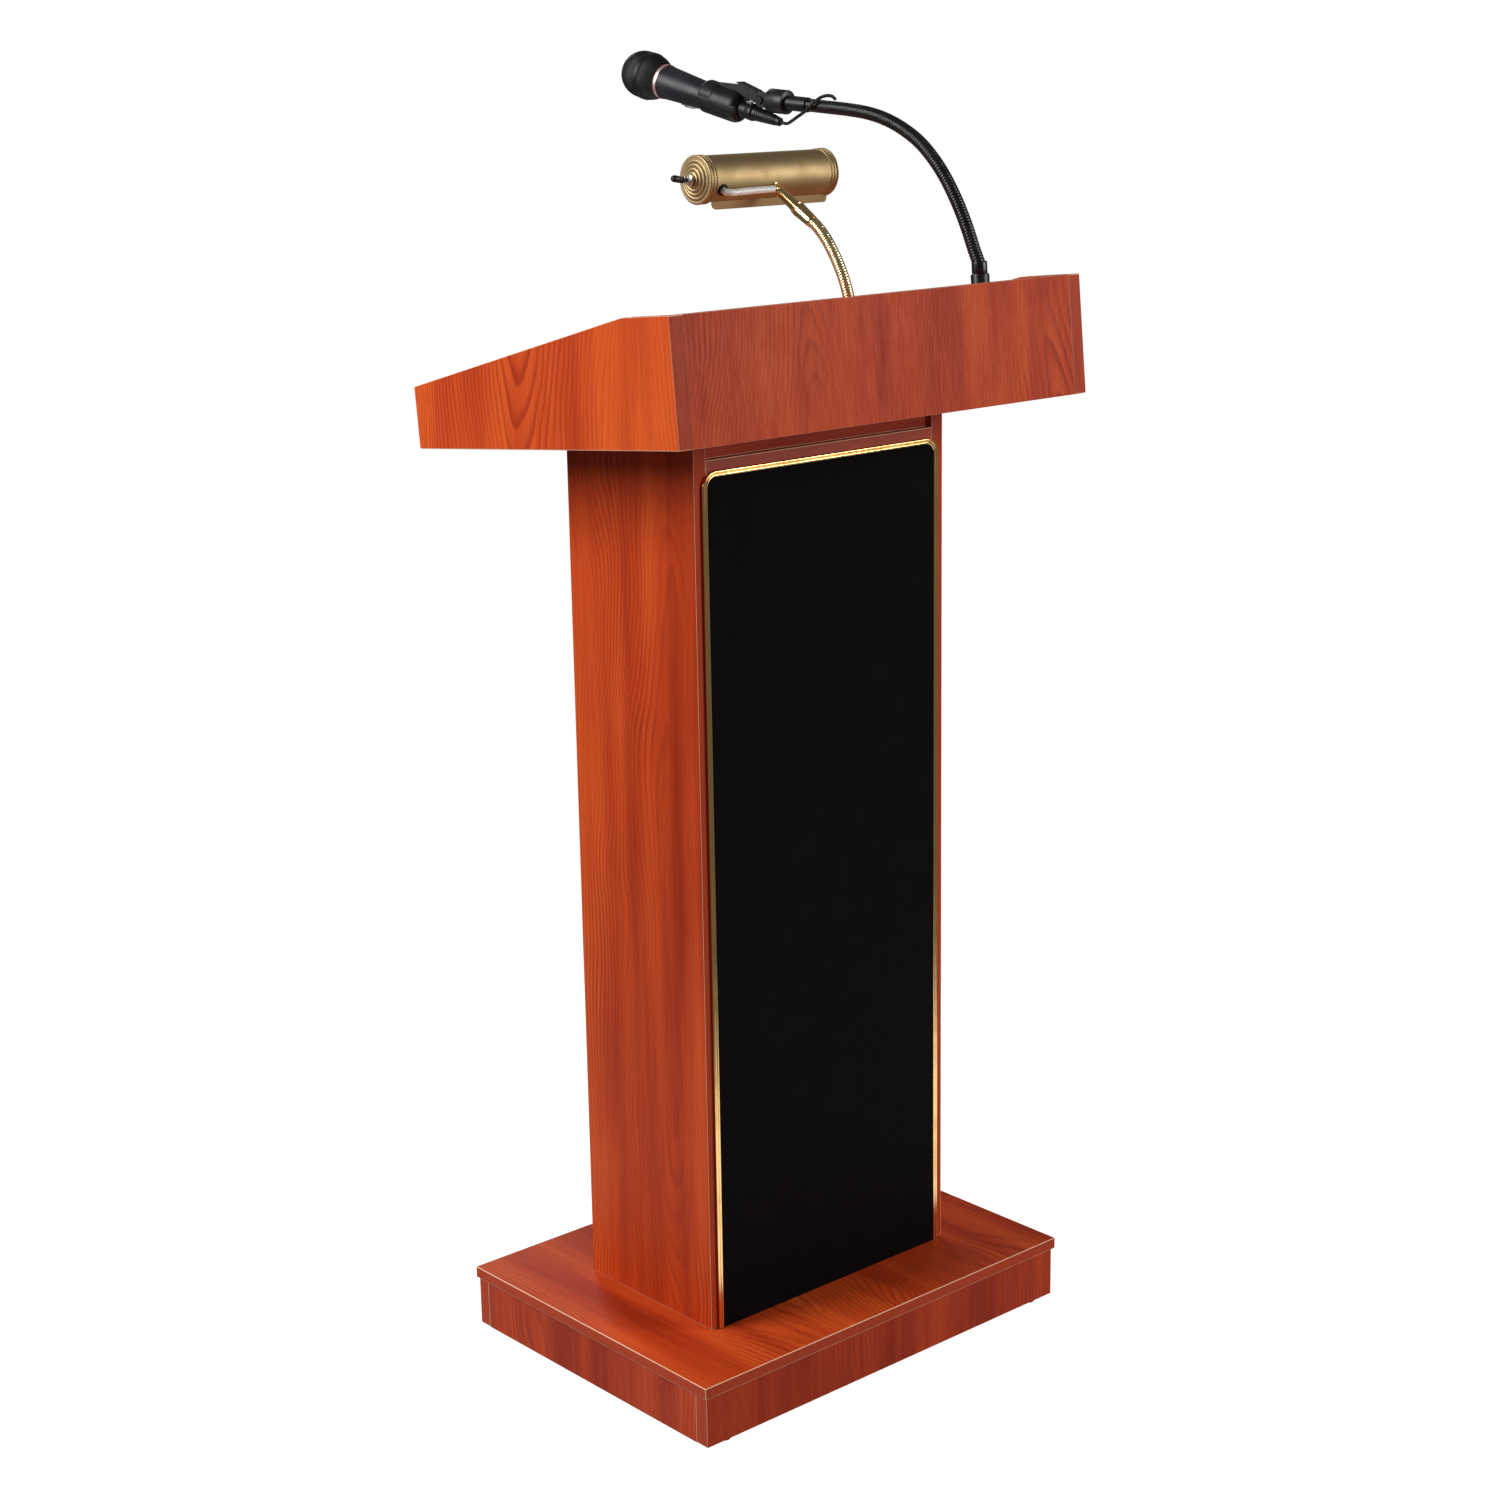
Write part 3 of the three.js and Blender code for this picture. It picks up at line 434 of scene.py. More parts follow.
def laminate(name, along, face, seed, painted_light_and_shade=0.0):
    """Cherry laminate with the grain along one axis; faces that don't look along `face` carry plain banding.

    painted_light_and_shade makes the whole board paler and more orange as painted light, and darker below
    zero as painted shade.
    """
    across = next(a for a in "XYZ" if a not in (along, face))
    look = Look(name, Roughness=0.46, Specular_IOR_Level=0.09)
    points = look.points()
    drawn = random.Random(seed)
    offset = tuple(drawn.uniform(-5, 5) for _ in range(3))

    def coordinate(axis):
        return look.node("VectorMath", {0: points, 1: AXES[axis]}, operation="DOT_PRODUCT").outputs["Value"]

    def scaled(along_scale, across_scale):
        scale = [a * along_scale + b * across_scale + c * across_scale
                 for a, b, c in zip(AXES[along], AXES[across], AXES[face])]
        return look.stretched(points, scale, offset)

    def swing(vector, size, detail=2):
        """Noise between -size / 2 and size / 2."""
        centred = look.math("SUBTRACT", look.noise(vector, detail=detail), 0.5)
        return look.times(centred, size)

    # the log's rings, cut lengthways: the distance from a pith line that slowly leaves the board
    u = look.add(coordinate(across), swing(scaled(2.2, 4), 0.16))
    u = look.math("PINGPONG", look.add(u, drawn.uniform(1.0, 2.0)), drawn.uniform(0.15, 0.19))
    d = look.times(coordinate(along), drawn.choice((-1, 1)) * drawn.uniform(0.09, 0.15))
    d = look.add(d, swing(scaled(3, 7), 0.05))
    d = look.math("PINGPONG", look.add(d, drawn.uniform(0.1, 0.3)), 0.09)
    distance = look.math("SQRT", look.add(look.math("POWER", u, 2), look.math("POWER", d, 2)))
    distance = look.add(distance, swing(scaled(10, 55), 0.0035, 3))
    rings = look.math("FRACT", look.times(distance, RINGS_PER_METRE))
    ring = look.ramp(rings, [(0, (0, 0, 0)), (0.40, (0.10,) * 3), (0.88, (1,) * 3), (1, (0, 0, 0))])
    patch = look.band(look.noise(scaled(3, 9), detail=2), 0.38, 0.66, 0.12, 1)
    ring = look.times(look.times(ring, patch), 0.85)

    streak = look.noise(scaled(1.3, 26), detail=2, roughness=0.55)
    cloud = look.noise(scaled(2.4, 8), detail=2)
    fibre = look.noise(scaled(9, 330), detail=3, roughness=0.6)
    pores = look.band(look.noise(scaled(70, 1500), detail=1), 0.60, 0.70)
    tone = look.add(look.times(streak, 0.44), look.times(cloud, 0.40))
    # painted light above zero and painted shade below it, over the whole board
    tone = look.add(tone, look.math("MULTIPLY_ADD", fibre, 0.16, painted_light_and_shade))
    ground = look.ramp(tone, [(0.36, DARK_WOOD), (0.50, MID_WOOD), (0.66, LIGHT_WOOD)], "LINEAR")
    color = look.mix(ring, ground, DARK_WOOD)
    color = look.mix(look.times(pores, 0.30), color, DARK_WOOD)
    facing = look.node("VectorMath", {0: look.normal(), 1: AXES[face]}, operation="DOT_PRODUCT")
    on_face = look.band(look.math("ABSOLUTE", facing.outputs["Value"]), 0.6, 0.7)
    grainy = look.noise(scaled(12, 260), detail=2)
    band = look.ramp(grainy, [(0.3, tuple(0.88 * c for c in BANDING[:3])), (0.7, BANDING)])
    color = look.mix(on_face, band, color)
    # the arrises: paler trimmed edge and painted highlight
    look.color(look.mix(arris_highlight_share(look), color, ARRIS_TRIM_AND_HIGHLIGHT))
    look.roughness(look.band(fibre, 0.3, 0.7, 0.52, 0.42))
    look.bump(look.math("SUBTRACT", fibre, look.times(pores, 0.6)), 0.00004)
    return look.material


def plain_board():
    look = Look("plain_board", Roughness=0.5, Specular_IOR_Level=0.25)
    speckle = look.clouds(900, 3)
    cloud = look.clouds(14, 2)
    ground = look.ramp(look.times(look.add(speckle, cloud), 0.5),
                       [(0.35, (0.34, 0.044, 0.017)), (0.65, BANDING)])
    # the arrises: paler trimmed edge and painted highlight
    look.color(look.mix(arris_highlight_share(look), ground, ARRIS_TRIM_AND_HIGHLIGHT))
    look.bump(speckle, 0.00005)
    return look.material


def speaker_cloth():
    look = Look("speaker_cloth", Roughness=0.8, Specular_IOR_Level=0.04)
    parts = look.node("SeparateXYZ", {0: look.points()})
    waves = 2 * pi / THREAD_PITCH
    warp = look.math("SINE", look.times(parts.outputs[0], waves))
    weft = look.math("SINE", look.times(parts.outputs[2], waves))
    weave = look.times(look.add(look.times(warp, weft), 1), 0.5)
    lint = look.clouds(30, 4)
    color = look.mix(weave, rgb(0.0012, 0.0008, 0.0009), rgb(0.0062, 0.0044, 0.0048))
    look.color(look.mix(look.band(lint, 0.45, 0.75, 0, 0.25), color, rgb(0.009, 0.0068, 0.0072)))
    look.bump(weave, 0.00018)
    return look.material


def metal(name, color, dull, roughness, smudge, grain=0.0):
    """Metal whose polish and colour vary a little; grain brushes it along X."""
    look = Look(name, Metallic=1.0)
    cloud = look.clouds(38, 4)
    look.color(look.mix(look.band(cloud, 0.35, 0.7), rgb(*color), rgb(*dull)))
    fine = look.noise(look.stretched(look.points(), (60, 2600, 2600)), detail=3)
    mixed = look.add(look.times(cloud, 1 - grain), look.times(fine, grain))
    look.roughness(look.band(mixed, 0.3, 0.7, roughness, roughness + smudge))
    if grain:
        look.bump(fine, 0.00002, grain)
    return look.material


def black_finish(name, color, roughness, texture, coat=0.0):
    """Moulded plastic, powder coat or rubber: a near black with a fine texture, paler in clouds."""
    look = Look(name, Specular_IOR_Level=0.35, Coat_Weight=coat, Coat_Roughness=0.3)
    fine = look.clouds(2600, 2)
    cloud = look.clouds(45, 3)
    light = tuple(min(1, 1.5 * c + 0.002) for c in color)
    look.color(look.mix(look.band(cloud, 0.35, 0.7), rgb(*color), rgb(*light)))
    look.roughness(look.band(cloud, 0.3, 0.7, roughness - 0.05, roughness + 0.07))
    look.bump(fine, texture)
    return look.material


def translucent_sleeve():
    look = Look("white_sleeve", Subsurface_Weight=0.1, Coat_Weight=0.3)
    look.shader.inputs["Subsurface Radius"].default_value = (0.002, 0.002, 0.002)
    cloud = look.clouds(120, 3)
    look.color(look.ramp(cloud, [(0.3, (0.66, 0.63, 0.58)), (0.7, (0.80, 0.79, 0.76))]))
    look.roughness(look.band(cloud, 0.3, 0.7, 0.25, 0.42))
    return look.material


def painted(name, color):
    look = Look(name)
    cloud = look.clouds(160, 3)
    shade = tuple(0.86 * c for c in color)
    look.color(look.mix(look.band(cloud, 0.35, 0.7), rgb(*color), rgb(*shade)))
    look.roughness(look.band(cloud, 0.3, 0.7, 0.30, 0.43))
    return look.material


def frosted_glass():
    look = Look("frosted_bulb", Roughness=0.35, Transmission_Weight=0.25, IOR=1.45)
    cloud = look.clouds(300, 3)
    look.color(look.ramp(cloud, [(0.3, (0.80, 0.78, 0.72)), (0.7, (0.90, 0.89, 0.85))]))
    look.bump(cloud, 0.00003)
    return look.material


BRASS = (metal("brass", (0.86, 0.62, 0.27), (0.78, 0.54, 0.22), 0.07, 0.07), "polished_brass")
SPIRAL = (metal("brass_spiral", (0.92, 0.74, 0.42), (0.84, 0.64, 0.33), 0.20, 0.08), "polished_brass")
BEAD_GOLD = (metal("bead_gold", (0.88, 0.60, 0.25), (0.80, 0.50, 0.20), 0.14, 0.08), "polished_brass")
GOLD = (metal("antique_gold", (0.40, 0.29, 0.15), (0.35, 0.25, 0.12), 0.54, 0.08, 0.3), "antique_gold")
SPUN_GOLD = (metal("spun_gold", (0.42, 0.31, 0.165), (0.37, 0.27, 0.135), 0.46, 0.08), "antique_gold")
CHROME = (metal("chrome", (0.86, 0.86, 0.87), (0.76, 0.76, 0.77), 0.16, 0.10), "chrome")
SATIN = (metal("satin_steel", (0.95, 0.93, 0.91), (0.86, 0.85, 0.83), 0.38, 0.08), "chrome")
PLASTIC = (black_finish("black_plastic", (0.0065, 0.0062, 0.0070), 0.40, 0.00004), "black_plastic")
HANDLE = (black_finish("handle_grey", (0.013, 0.013, 0.017), 0.40, 0.00003), "black_plastic")
STEEL = (black_finish("black_steel", (0.0045, 0.0042, 0.0045), 0.32, 0.00003, 0.1), "black_steel")
MESH = (black_finish("black_mesh", (0.0016, 0.0014, 0.0014), 0.46, 0.00002), "black_steel")
RUBBER = (black_finish("black_rubber", (0.006, 0.0058, 0.006), 0.55, 0.00005), "black_rubber")
CLOTH = (speaker_cloth(), "grille_fabric")
SLEEVE = (translucent_sleeve(), "clear_sleeve")
GLASS = (frosted_glass(), "frosted_glass")
BOARD = (plain_board(), "plain_edging")
RED = (painted("red_ring", (0.26, 0.012, 0.014)), "black_plastic")
WHITE = (painted("white_mark", (0.75, 0.75, 0.73)), "black_plastic")
# a near black for the shade inside holes and recesses: painted shade
HOLE_SHADE = (black_finish("painted_hole_shade", (0.004, 0.004, 0.004), 0.6, 0.00003), "black_plastic")


# ---- cords
CORD_RADIUS, WIRE_RADIUS = 1.8, 3.5
MIC_CORD = [  # from the boot to the neck
    (0, 271.5, 1323.35), (0, 266, 1322.1), (-1.2, 260.5, 1322.4), (-3, 254.5, 1324.4), (-5.2, 248, 1327),
    (-7.4, 241.5, 1329.6), (-9.3, 235, 1332.2), (-10.6, 229, 1335), (-11.2, 223.6, 1338.4),
    (-11, 218.8, 1342.2), (-9.8, 214.4, 1346), (-7.8, 210.2, 1349.2), (-5.3, 205.8, 1351.3),
    (-2.9, 201.2, 1351.9), (-1.2, 197, 1350.7), (-0.2, 193.8, 1347.6),
]
LAMP_WIRE = [  # from the grommet to the ball, seen from the shade's centre
    (-70.5, -22.7, -10.6), (-70.3, -25, -11.7), (-67.6, -27.6, -12.4), (-62, -28.6, -12.8),
    (-52, -28.4, -12.4), (-40, -28.2, -12.2), (-26, -28, -12), (-15, -27.6, -12), (-5.7, -27, -11.8),
]


def cord_tube(name, points, place, radius, look, sides):
    """A tube through the points, and its centre line in metres."""
    line = evenly(spline(points), radius * 0.7)
    made = dress(build(name, skin(tube_rings(line, radius, sides)), place), *look)
    return made, [place @ p for p in line]


def length_of(line):
    return sum((b - a).length for a, b in zip(line, line[1:]))


def make_cords():
    cord, line = cord_tube("mic_lead", MIC_CORD, MIC, CORD_RADIUS, RUBBER, 20)
    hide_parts("mic_cord")
    tuple(line[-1])
    tuple(line[0])
    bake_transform(cord)
    tuple(line[0])
    length_of(line)
    [tuple(p) for p in line]

    wire, line = cord_tube("lamp_lead", LAMP_WIRE, HEAD, WIRE_RADIUS, SLEEVE, 32)
    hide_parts("lamp_wire")
    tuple(line[-1])
    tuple(line[len(line) // 3])
    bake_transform(wire)


# ---- boards
BOARD_ARRIS = 1.1
# painted light on the lit left desk side and the base's top; painted shade on the skirts
PAINTED_LIGHT_AND_SHADE = {"desk_side_left": 0.10, "base_top_board": 0.03, **{f"base_skirt_{side}": -0.08 for side in SIDES}}
BOARDS = {  # node: the grain's axis and the face's axis
    "base_top_board": "YZ", "base_skirt_front": "ZY", "base_skirt_rear": "ZY", "base_skirt_left": "ZX",
    "base_skirt_right": "ZX", "column_side_left": "ZX", "column_side_right": "ZX", "column_front_rail": "XY",
    "chamber_floor": "YZ", "amplifier_shelf": "YZ", "storage_shelf": "YZ", "speaker_rear_panel": "ZY",
    "desk_side_left": "ZX", "desk_side_right": "ZX", "desk_front_board": "ZY", "desk_back_board": "ZY",
    "desk_bottom_board": "YZ", "desk_ledge_board": "XZ", "reading_surface": "XZ",
}


def dress_boards():
    for seed, (name, (grain, face)) in enumerate(BOARDS.items(), start=11):
        material = laminate(f"laminate_{name}", grain, face, seed, PAINTED_LIGHT_AND_SHADE.get(name, 0))
        soften(dress(nodes[name], material, "cherry_laminate"), BOARD_ARRIS)
    for name in ("column_top_board", "speaker_baffle"):
        soften(dress(nodes[name], *BOARD), BOARD_ARRIS)


# ---- grille
TRIM_OUTER, TRIM_WIDTH, TRIM_TOP, TRIM_CORNER, TRIM_FOOT = 165.5, 6.5, 999, 18, 72.1
RAIL_FRONT = 107.6
CORNER_STEPS = 12


def hoop_line():
    """The grille's outline in XZ, open at its foot, as (point, outward direction) pairs."""
    half, corner, height = TRIM_OUTER, TRIM_CORNER, TRIM_TOP - TRIM_CORNER
    made = [((half, TRIM_FOOT), (1, 0)), ((half, height), (1, 0))]
    for centre, start in ((half - corner, 0), (corner - half, 90)):
        for i in range(CORNER_STEPS + 1):
            a = radians(start + i * 90 / CORNER_STEPS)
            out = (cos(a), sin(a))
            made.append(((centre + corner * out[0], height + corner * out[1]), out))
    return [*made, ((-half, TRIM_FOOT), (-1, 0))]


def make_grille():
    soften(dress(nodes["grille_panel"], *CLOTH), 2.4, 4)

    # the bead: two half-rounds with a groove between them, swept round the hoop
    front = RAIL_FRONT - GAP
    section = []  # (across, forward) from the outer edge to the inner one
    for centre in (TRIM_WIDTH * 0.26, TRIM_WIDTH * 0.74):
        section += [(x, 1.9 + y) for x, y in arc((centre, 0), TRIM_WIDTH * 0.25, 180, 0, 10)]
    section = [(0, 0), *section, (TRIM_WIDTH, 0)]
    rings = []
    for (x, z), (ox, oz) in hoop_line():
        ring = [(x - ox * across, front - forward, z - oz * across) for across, forward in section]
        rings.append([Vector(point) for point in ring])
    piece("grille_bead", skin(rings), BEAD_GOLD, "cabinet", sharp=50, covers="grille_trim")


# ---- necks
LAMP_NECK = [  # (y, z)
    (68, 1163), (74, 1178.3), (82.2, 1193.2), (92.2, 1207.9), (103, 1220.2), (113.4, 1229), (119, 1232.3),
]
MIC_NECK = [
    (8.5, 1196), (19.9, 1223), (34.6, 1251), (53.5, 1278.5), (78, 1303), (102, 1318), (126, 1328),
    (150, 1334), (176, 1337.3), (204, 1339.6), (234, 1341.9),
]
NECK_SIDES = 40
NECK_RIDGE = 0.68


def above_ledge(from_front, height):
    """A point square above the ledge, at a distance from the desk's front edge, as (y, z)."""
    up = LEDGE_TOP + height
    return (from_front * cos(DESK_TILT) + up * sin(DESK_TILT),
            DESK_BOTTOM - from_front * sin(DESK_TILT) + up * cos(DESK_TILT))


def in_plane(points):
    return [Vector((0, y, z)) for y, z in points]


LAMP_FEET = [above_ledge(LAMP_FROM_FRONT, height) for height in (8.6, 14.6)]
LAMP_LINE = evenly(spline(in_plane([*LAMP_FEET, *LAMP_NECK])), 0.4)
MIC_FEET = [above_ledge(MIC_FROM_FRONT, height) for height in (33.6, 42.6)]
MIC_FEET = [((y - MIC_BACK) * cos(MIC_TURN), z) for y, z in MIC_FEET]
MIC_LINE = evenly(spline(in_plane([*MIC_FEET, *MIC_NECK])), 0.5)


def wound(core, pitch):
    """The radius of a close-wound strip: a round-topped helical ridge on a core."""
    def radius(along, angle):
        phase = (along / pitch - angle / (2 * pi)) % 1
        return core + NECK_RIDGE * sqrt(max(0, 1 - (2 * phase - 1) ** 2))

    return radius


def flexible_neck(name, line, place, radius, look, bodies, links):
    """Pieces of a ribbed neck, each spanning one joint between the middles of two links."""
    rings = tube_rings(line, radius, NECK_SIDES)
    middles = [round((i + 0.5) * (len(line) - 1) / len(bodies)) for i in range(len(bodies))]
    for i, (first, second) in enumerate(zip(bodies, bodies[1:])):
        start = 0 if i == 0 else middles[i]
        end = len(line) - 1 if i == len(bodies) - 2 else middles[i + 1]
        made = dress(build(f"{name}_{i + 1}", skin(rings[start:end + 1]), place, 60), *look)
        if i == 0:
            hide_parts(*links)
        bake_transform(made)


def make_necks():
    flexible_neck(
        "lamp_gooseneck", LAMP_LINE, LECTERN, wound(5.35, 2.7), SPIRAL,
        ["lamp_neck_foot", "lamp_neck_middle", "lamp_neck_tip"],
        ["lamp_neck_1", "lamp_neck_2", "lamp_neck_3"])
    flexible_neck(
        "mic_gooseneck", MIC_LINE, MIC, wound(6.35, 3.1), STEEL,
        ["mic_neck_foot", "mic_neck_lower", "mic_neck_upper", "mic_neck_tip"],
        ["mic_neck_1", "mic_neck_2", "mic_neck_3", "mic_neck_4"])


# ---- lamp
SHADE_RADIUS, SHADE_WALL, SHADE_HALF = 23.8, 1.2, 85  # half: from its centre to each cap


def at_line_end(place, line, backwards=False):
    """A frame at a line's first or last point, with +Z along the line."""
    point, towards = (line[0], line[3] - line[0]) if backwards else (line[-1], line[-1] - line[-4])
    return place @ move(*point) @ towards.to_track_quat("Z", "Y").to_matrix().to_4x4()


def make_lamp_stand():
    foot = [
        (0, 0), (12.4, 0), (13, 0.6), (13, 1.4), (12.2, 2.1), (9.2, 3.2), (8.2, 4.4), (7.8, 6), (7.8, 7.2),
        (7.3, 8), (0, 8),
    ]
    piece("lamp_foot", lathe(foot), BRASS, "cabinet", DESK @ move(0, LAMP_FROM_FRONT, LEDGE_TOP + GAP),
          covers="lamp_base_ferrule")
    cone = [
        (0, 0), (6.1, 0), (6.3, 0.5), (6.5, 3), (7.3, 20), (7.6, 22), (7.6, 23.4), (7.3, 24.1), (6.9, 24.5),
        (6.9, 25), (7.4, 25.5), (7.4, 27.2), (6.9, 27.8), (6.3, 28.3), (6.1, 30), (5, 52.6), (5, 53),
        (5.4, 53.5), (5.4, 55.3), (5, 56), (0, 56),
    ]
    piece("lamp_cone", lathe(cone), BRASS, "lamp_neck_tip", FITTING @ ALONG_Y, covers="lamp_neck_fitting")
    ball = [(0, 56.3), (2.3, 56.3), (2.3, 59), *arc((0, BALL_OFFSET), 3.4, -47, 90, 14)[:-1], (0, 64.9)]
    piece("lamp_ball", lathe(ball, 48), BRASS, "lamp_knuckle", FITTING @ ALONG_Y, covers="lamp_knuckle")


def make_shade():
    radius, wall, half = SHADE_RADIUS, SHADE_WALL, SHADE_HALF
    outer = arc((0, 0), radius, -25, 248, 96)
    body = side_plate([*outer, *arc((0, 0), radius - wall, 248, -25, 96)], -half, half)
    hem = arc((outer[0][0] * 0.975, outer[0][1] * 0.975), wall / 2 + 0.25, 155, -205, 10)[:-1]
    hem = side_plate(hem, -half + 1, half - 1)

    # the lip: a flat strip hanging from the front edge, with rounded lower corners
    top, bottom, left, right = 0.4, -8.5, 11 - half, half - 0.5
    strip = [(left, top), *arc((left + 8, bottom + 8), 8, 180, 270, 8),
             *arc((right - 3, bottom + 3), 3, 270, 360, 6), (right, top)]
    edge = outer[-1]
    hung = move(0, edge[0] - 0.2, edge[1]) @ turn(radians(14), "X") @ UPRIGHT
    lip = moved(prism(strip, 0, wall), hung)
    piece("lamp_reflector", joined(body, hem, lip), GOLD, "lamp_head", HEAD, covers="lamp_shade")
    lining = arc((0, 0), radius - wall - 0.05, -22, 243, 72)
    lining += arc((0, 0), radius - wall - 0.3, 243, -22, 72)
    piece("lamp_lining", prism(lining, 1 - half, half - 1), WHITE, "lamp_head", HEAD @ PROFILE_ALONG_X)

    def cap(centre):
        steps = []
        for i in range(4):
            r, h = 20.8 - 4 * i, 2.5 + 1.3 * i
            steps += [(r, h), (r - 0.3, h + 0.7), (r - 1, h + 1.15), (r - 2, h + 1.3), (r - 3, h + 1.15),
                      (r - 3.7, h + 0.9)]
        rim = [(24.6, 0.5), (24.9, 1.3), (24.6, 2.1), (23.8, 2.6), (22.6, 2.6), (21.6, 2.3)]
        return [(23.7, 0), *rim, *steps, *centre]

    for side, profile, turned in (
        ("left", [(3.3, 0), *cap([(4.6, 7.6), (4.2, 8), (3.3, 8)])], turn(pi, "Z")),
        ("right", [(0, 0), *cap([(4.6, 7.6), (3, 8), (0, 8)])], Matrix()),
    ):
        end = HEAD @ turned @ move(half, 0, 0) @ ALONG_X
        piece(f"lamp_cap_{side}", lathe(profile, 96), SPUN_GOLD, "lamp_head", end @ move(0, 0, GAP), sharp=45,
              covers=f"lamp_end_cap_{side}")
        for i, at in enumerate((-2.4, -6.2)):  # two rolled beads round the wall
            bead = lathe(bead_section((radius - 0.1, 0), 0.95), 96)
            piece(f"lamp_bead_{side}_{i + 1}", bead, SPUN_GOLD, "lamp_head", end @ move(0, 0, at))


def make_lamp_fittings():
    flat = HEAD @ turn(ARM_ANGLE, "X")
    seat = ARM - SHADE_RADIUS
    cup = [
        (0, -0.6), (5.6, -0.6), (5.9, 0), (5.6, 0.7), (5, 1), (5, seat - 0.9), (4.6, seat - 0.4),
        (4, seat - 0.6), (2.6, seat - 2.9), (0, seat - 3.9),
    ]
    outwards = flat @ move(0, -SHADE_RADIUS, 0) @ turn(pi, "X") @ ALONG_Y
    piece("lamp_cup", lathe(cup, 48), BRASS, "lamp_head", outwards)

    # the grommet round the hole where the wire leaves the shade
    out = Vector((0, -22.7, -10.6)).normalized()
    grommet = [(3.6, -1.5), (5.6, -1.5), (6.3, -0.6), (6.3, 0.6), (5.6, 1.6), (4.4, 2), (3.6, 1.4)]
    hole = HEAD @ move(-70.4, out.y * SHADE_RADIUS, out.z * SHADE_RADIUS)
    place = hole @ out.to_track_quat("Z", "X").to_matrix().to_4x4()
    piece("lamp_grommet", lathe(grommet, 48), RUBBER, "lamp_head", place)
    end = [(0, 0), (3.6, 0), (3.9, 0.5), (3.9, 3.6), (3.5, 4.2), (0, 4.2)]
    piece("lamp_wire_gland", lathe(end, 40), BRASS, "lamp_knuckle", HEAD @ move(-6.2, -27, -11.8) @ ALONG_X)

    half = SHADE_HALF
    socket = [(0, 0), (13.2, 0), (14, 0.8), (14, 24), (12.6, 26), (12.6, 29), (11.8, 30), (0, 30)]
    to_left = turn(pi, "Z") @ ALONG_X
    piece("lamp_holder", lathe(socket), PLASTIC, "lamp_head", HEAD @ move(half, 0, 0) @ to_left,
          covers="lamp_socket")
    glass = [(0, 0), (9.5, 0), (10.5, 2), (12.5, 10), (12.5, 84), (11.6, 89), (9.4, 93), (5.6, 95.4), (0, 96)]
    piece("lamp_tube", lathe(glass), GLASS, "lamp_head", HEAD @ move(half - 30.3, 0, 0) @ to_left,
          covers="lamp_bulb")

    start = 16 - half
    body = [
        (0, 0), (7.4, 0), (8, 0.6), (8, 15.4), (7.4, 16), (3, 16), (3, 24.6), (5.2, 24.6), (5.6, 25),
        (5.6, 27), (5, 27.6), (4, 27.8), (3.9, 28.4), (3.9, 31), (3.4, 31.5), (0, 31.5),
    ]
    piece("lamp_switch_bush", lathe(body, 48), CHROME, "lamp_head", HEAD @ move(start, 0, 0) @ to_left,
          covers="lamp_switch_body")
    lever = HEAD @ move(start - 31.8, 0, 0) @ turn(pi + radians(10), "Y") @ ALONG_X
    bat = [(0, 0), (1.2, 0), (1.4, 2), (2.8, 2.6), (3.3, 3.4), (3.6, 13.5), (3.3, 16.4), (2.2, 17.8), (0, 18)]
    piece("lamp_toggle_sleeve", lathe(bat, 40), PLASTIC, "lamp_toggle", lever, covers="lamp_switch_lever")


# ---- microphone
HANDLE_TAPER = 0.0537


def handle_radius(t):
    """The handle's radius at a distance from the plug's rear end."""
    return 12.6 + (t - 62) * HANDLE_TAPER


def make_mic_stand():
    flange = [
        (0, 0), (21.4, 0), (22, 0.6), (22, 1.8), (21.2, 2.6), (12.4, 3.9), (10.8, 5), (9.8, 7), (9.8, 31.6),
        (9.2, 33), (0, 33),
    ]
    at = DESK @ move(MIC_ACROSS, MIC_FROM_FRONT, LEDGE_TOP + GAP)
    piece("mic_foot", lathe(flange), STEEL, "cabinet", at, covers="mic_base_flange")
    for i in range(3):
        a = radians(90 + 120 * i)
        screw = [(0, 0), (2.9, 0), (2.9, 0.5), (2.2, 1.2), (0, 1.5)]
        place = at @ move(16.8 * cos(a), 16.8 * sin(a), 3.0)
        piece(f"mic_foot_screw_{i + 1}", lathe(screw, 32), STEEL, "cabinet", place)
    lower = [(0, 0), (8.0, 0), (8.2, 0.6), (8.2, 11.4), (7.9, 12.4), (7.2, 13), (0, 13)]
    piece("mic_ferrule_lower", lathe(lower, 48), STEEL, "mic_neck_foot", at_line_end(MIC, MIC_LINE, True))
    upper = [(0, -2.4), (7.2, -2.4), (8, -1.6), (8, 26), (0, 26)]
    piece("mic_ferrule_upper", lathe(upper, 48), STEEL, "mic_neck_tip", at_line_end(MIC, MIC_LINE))


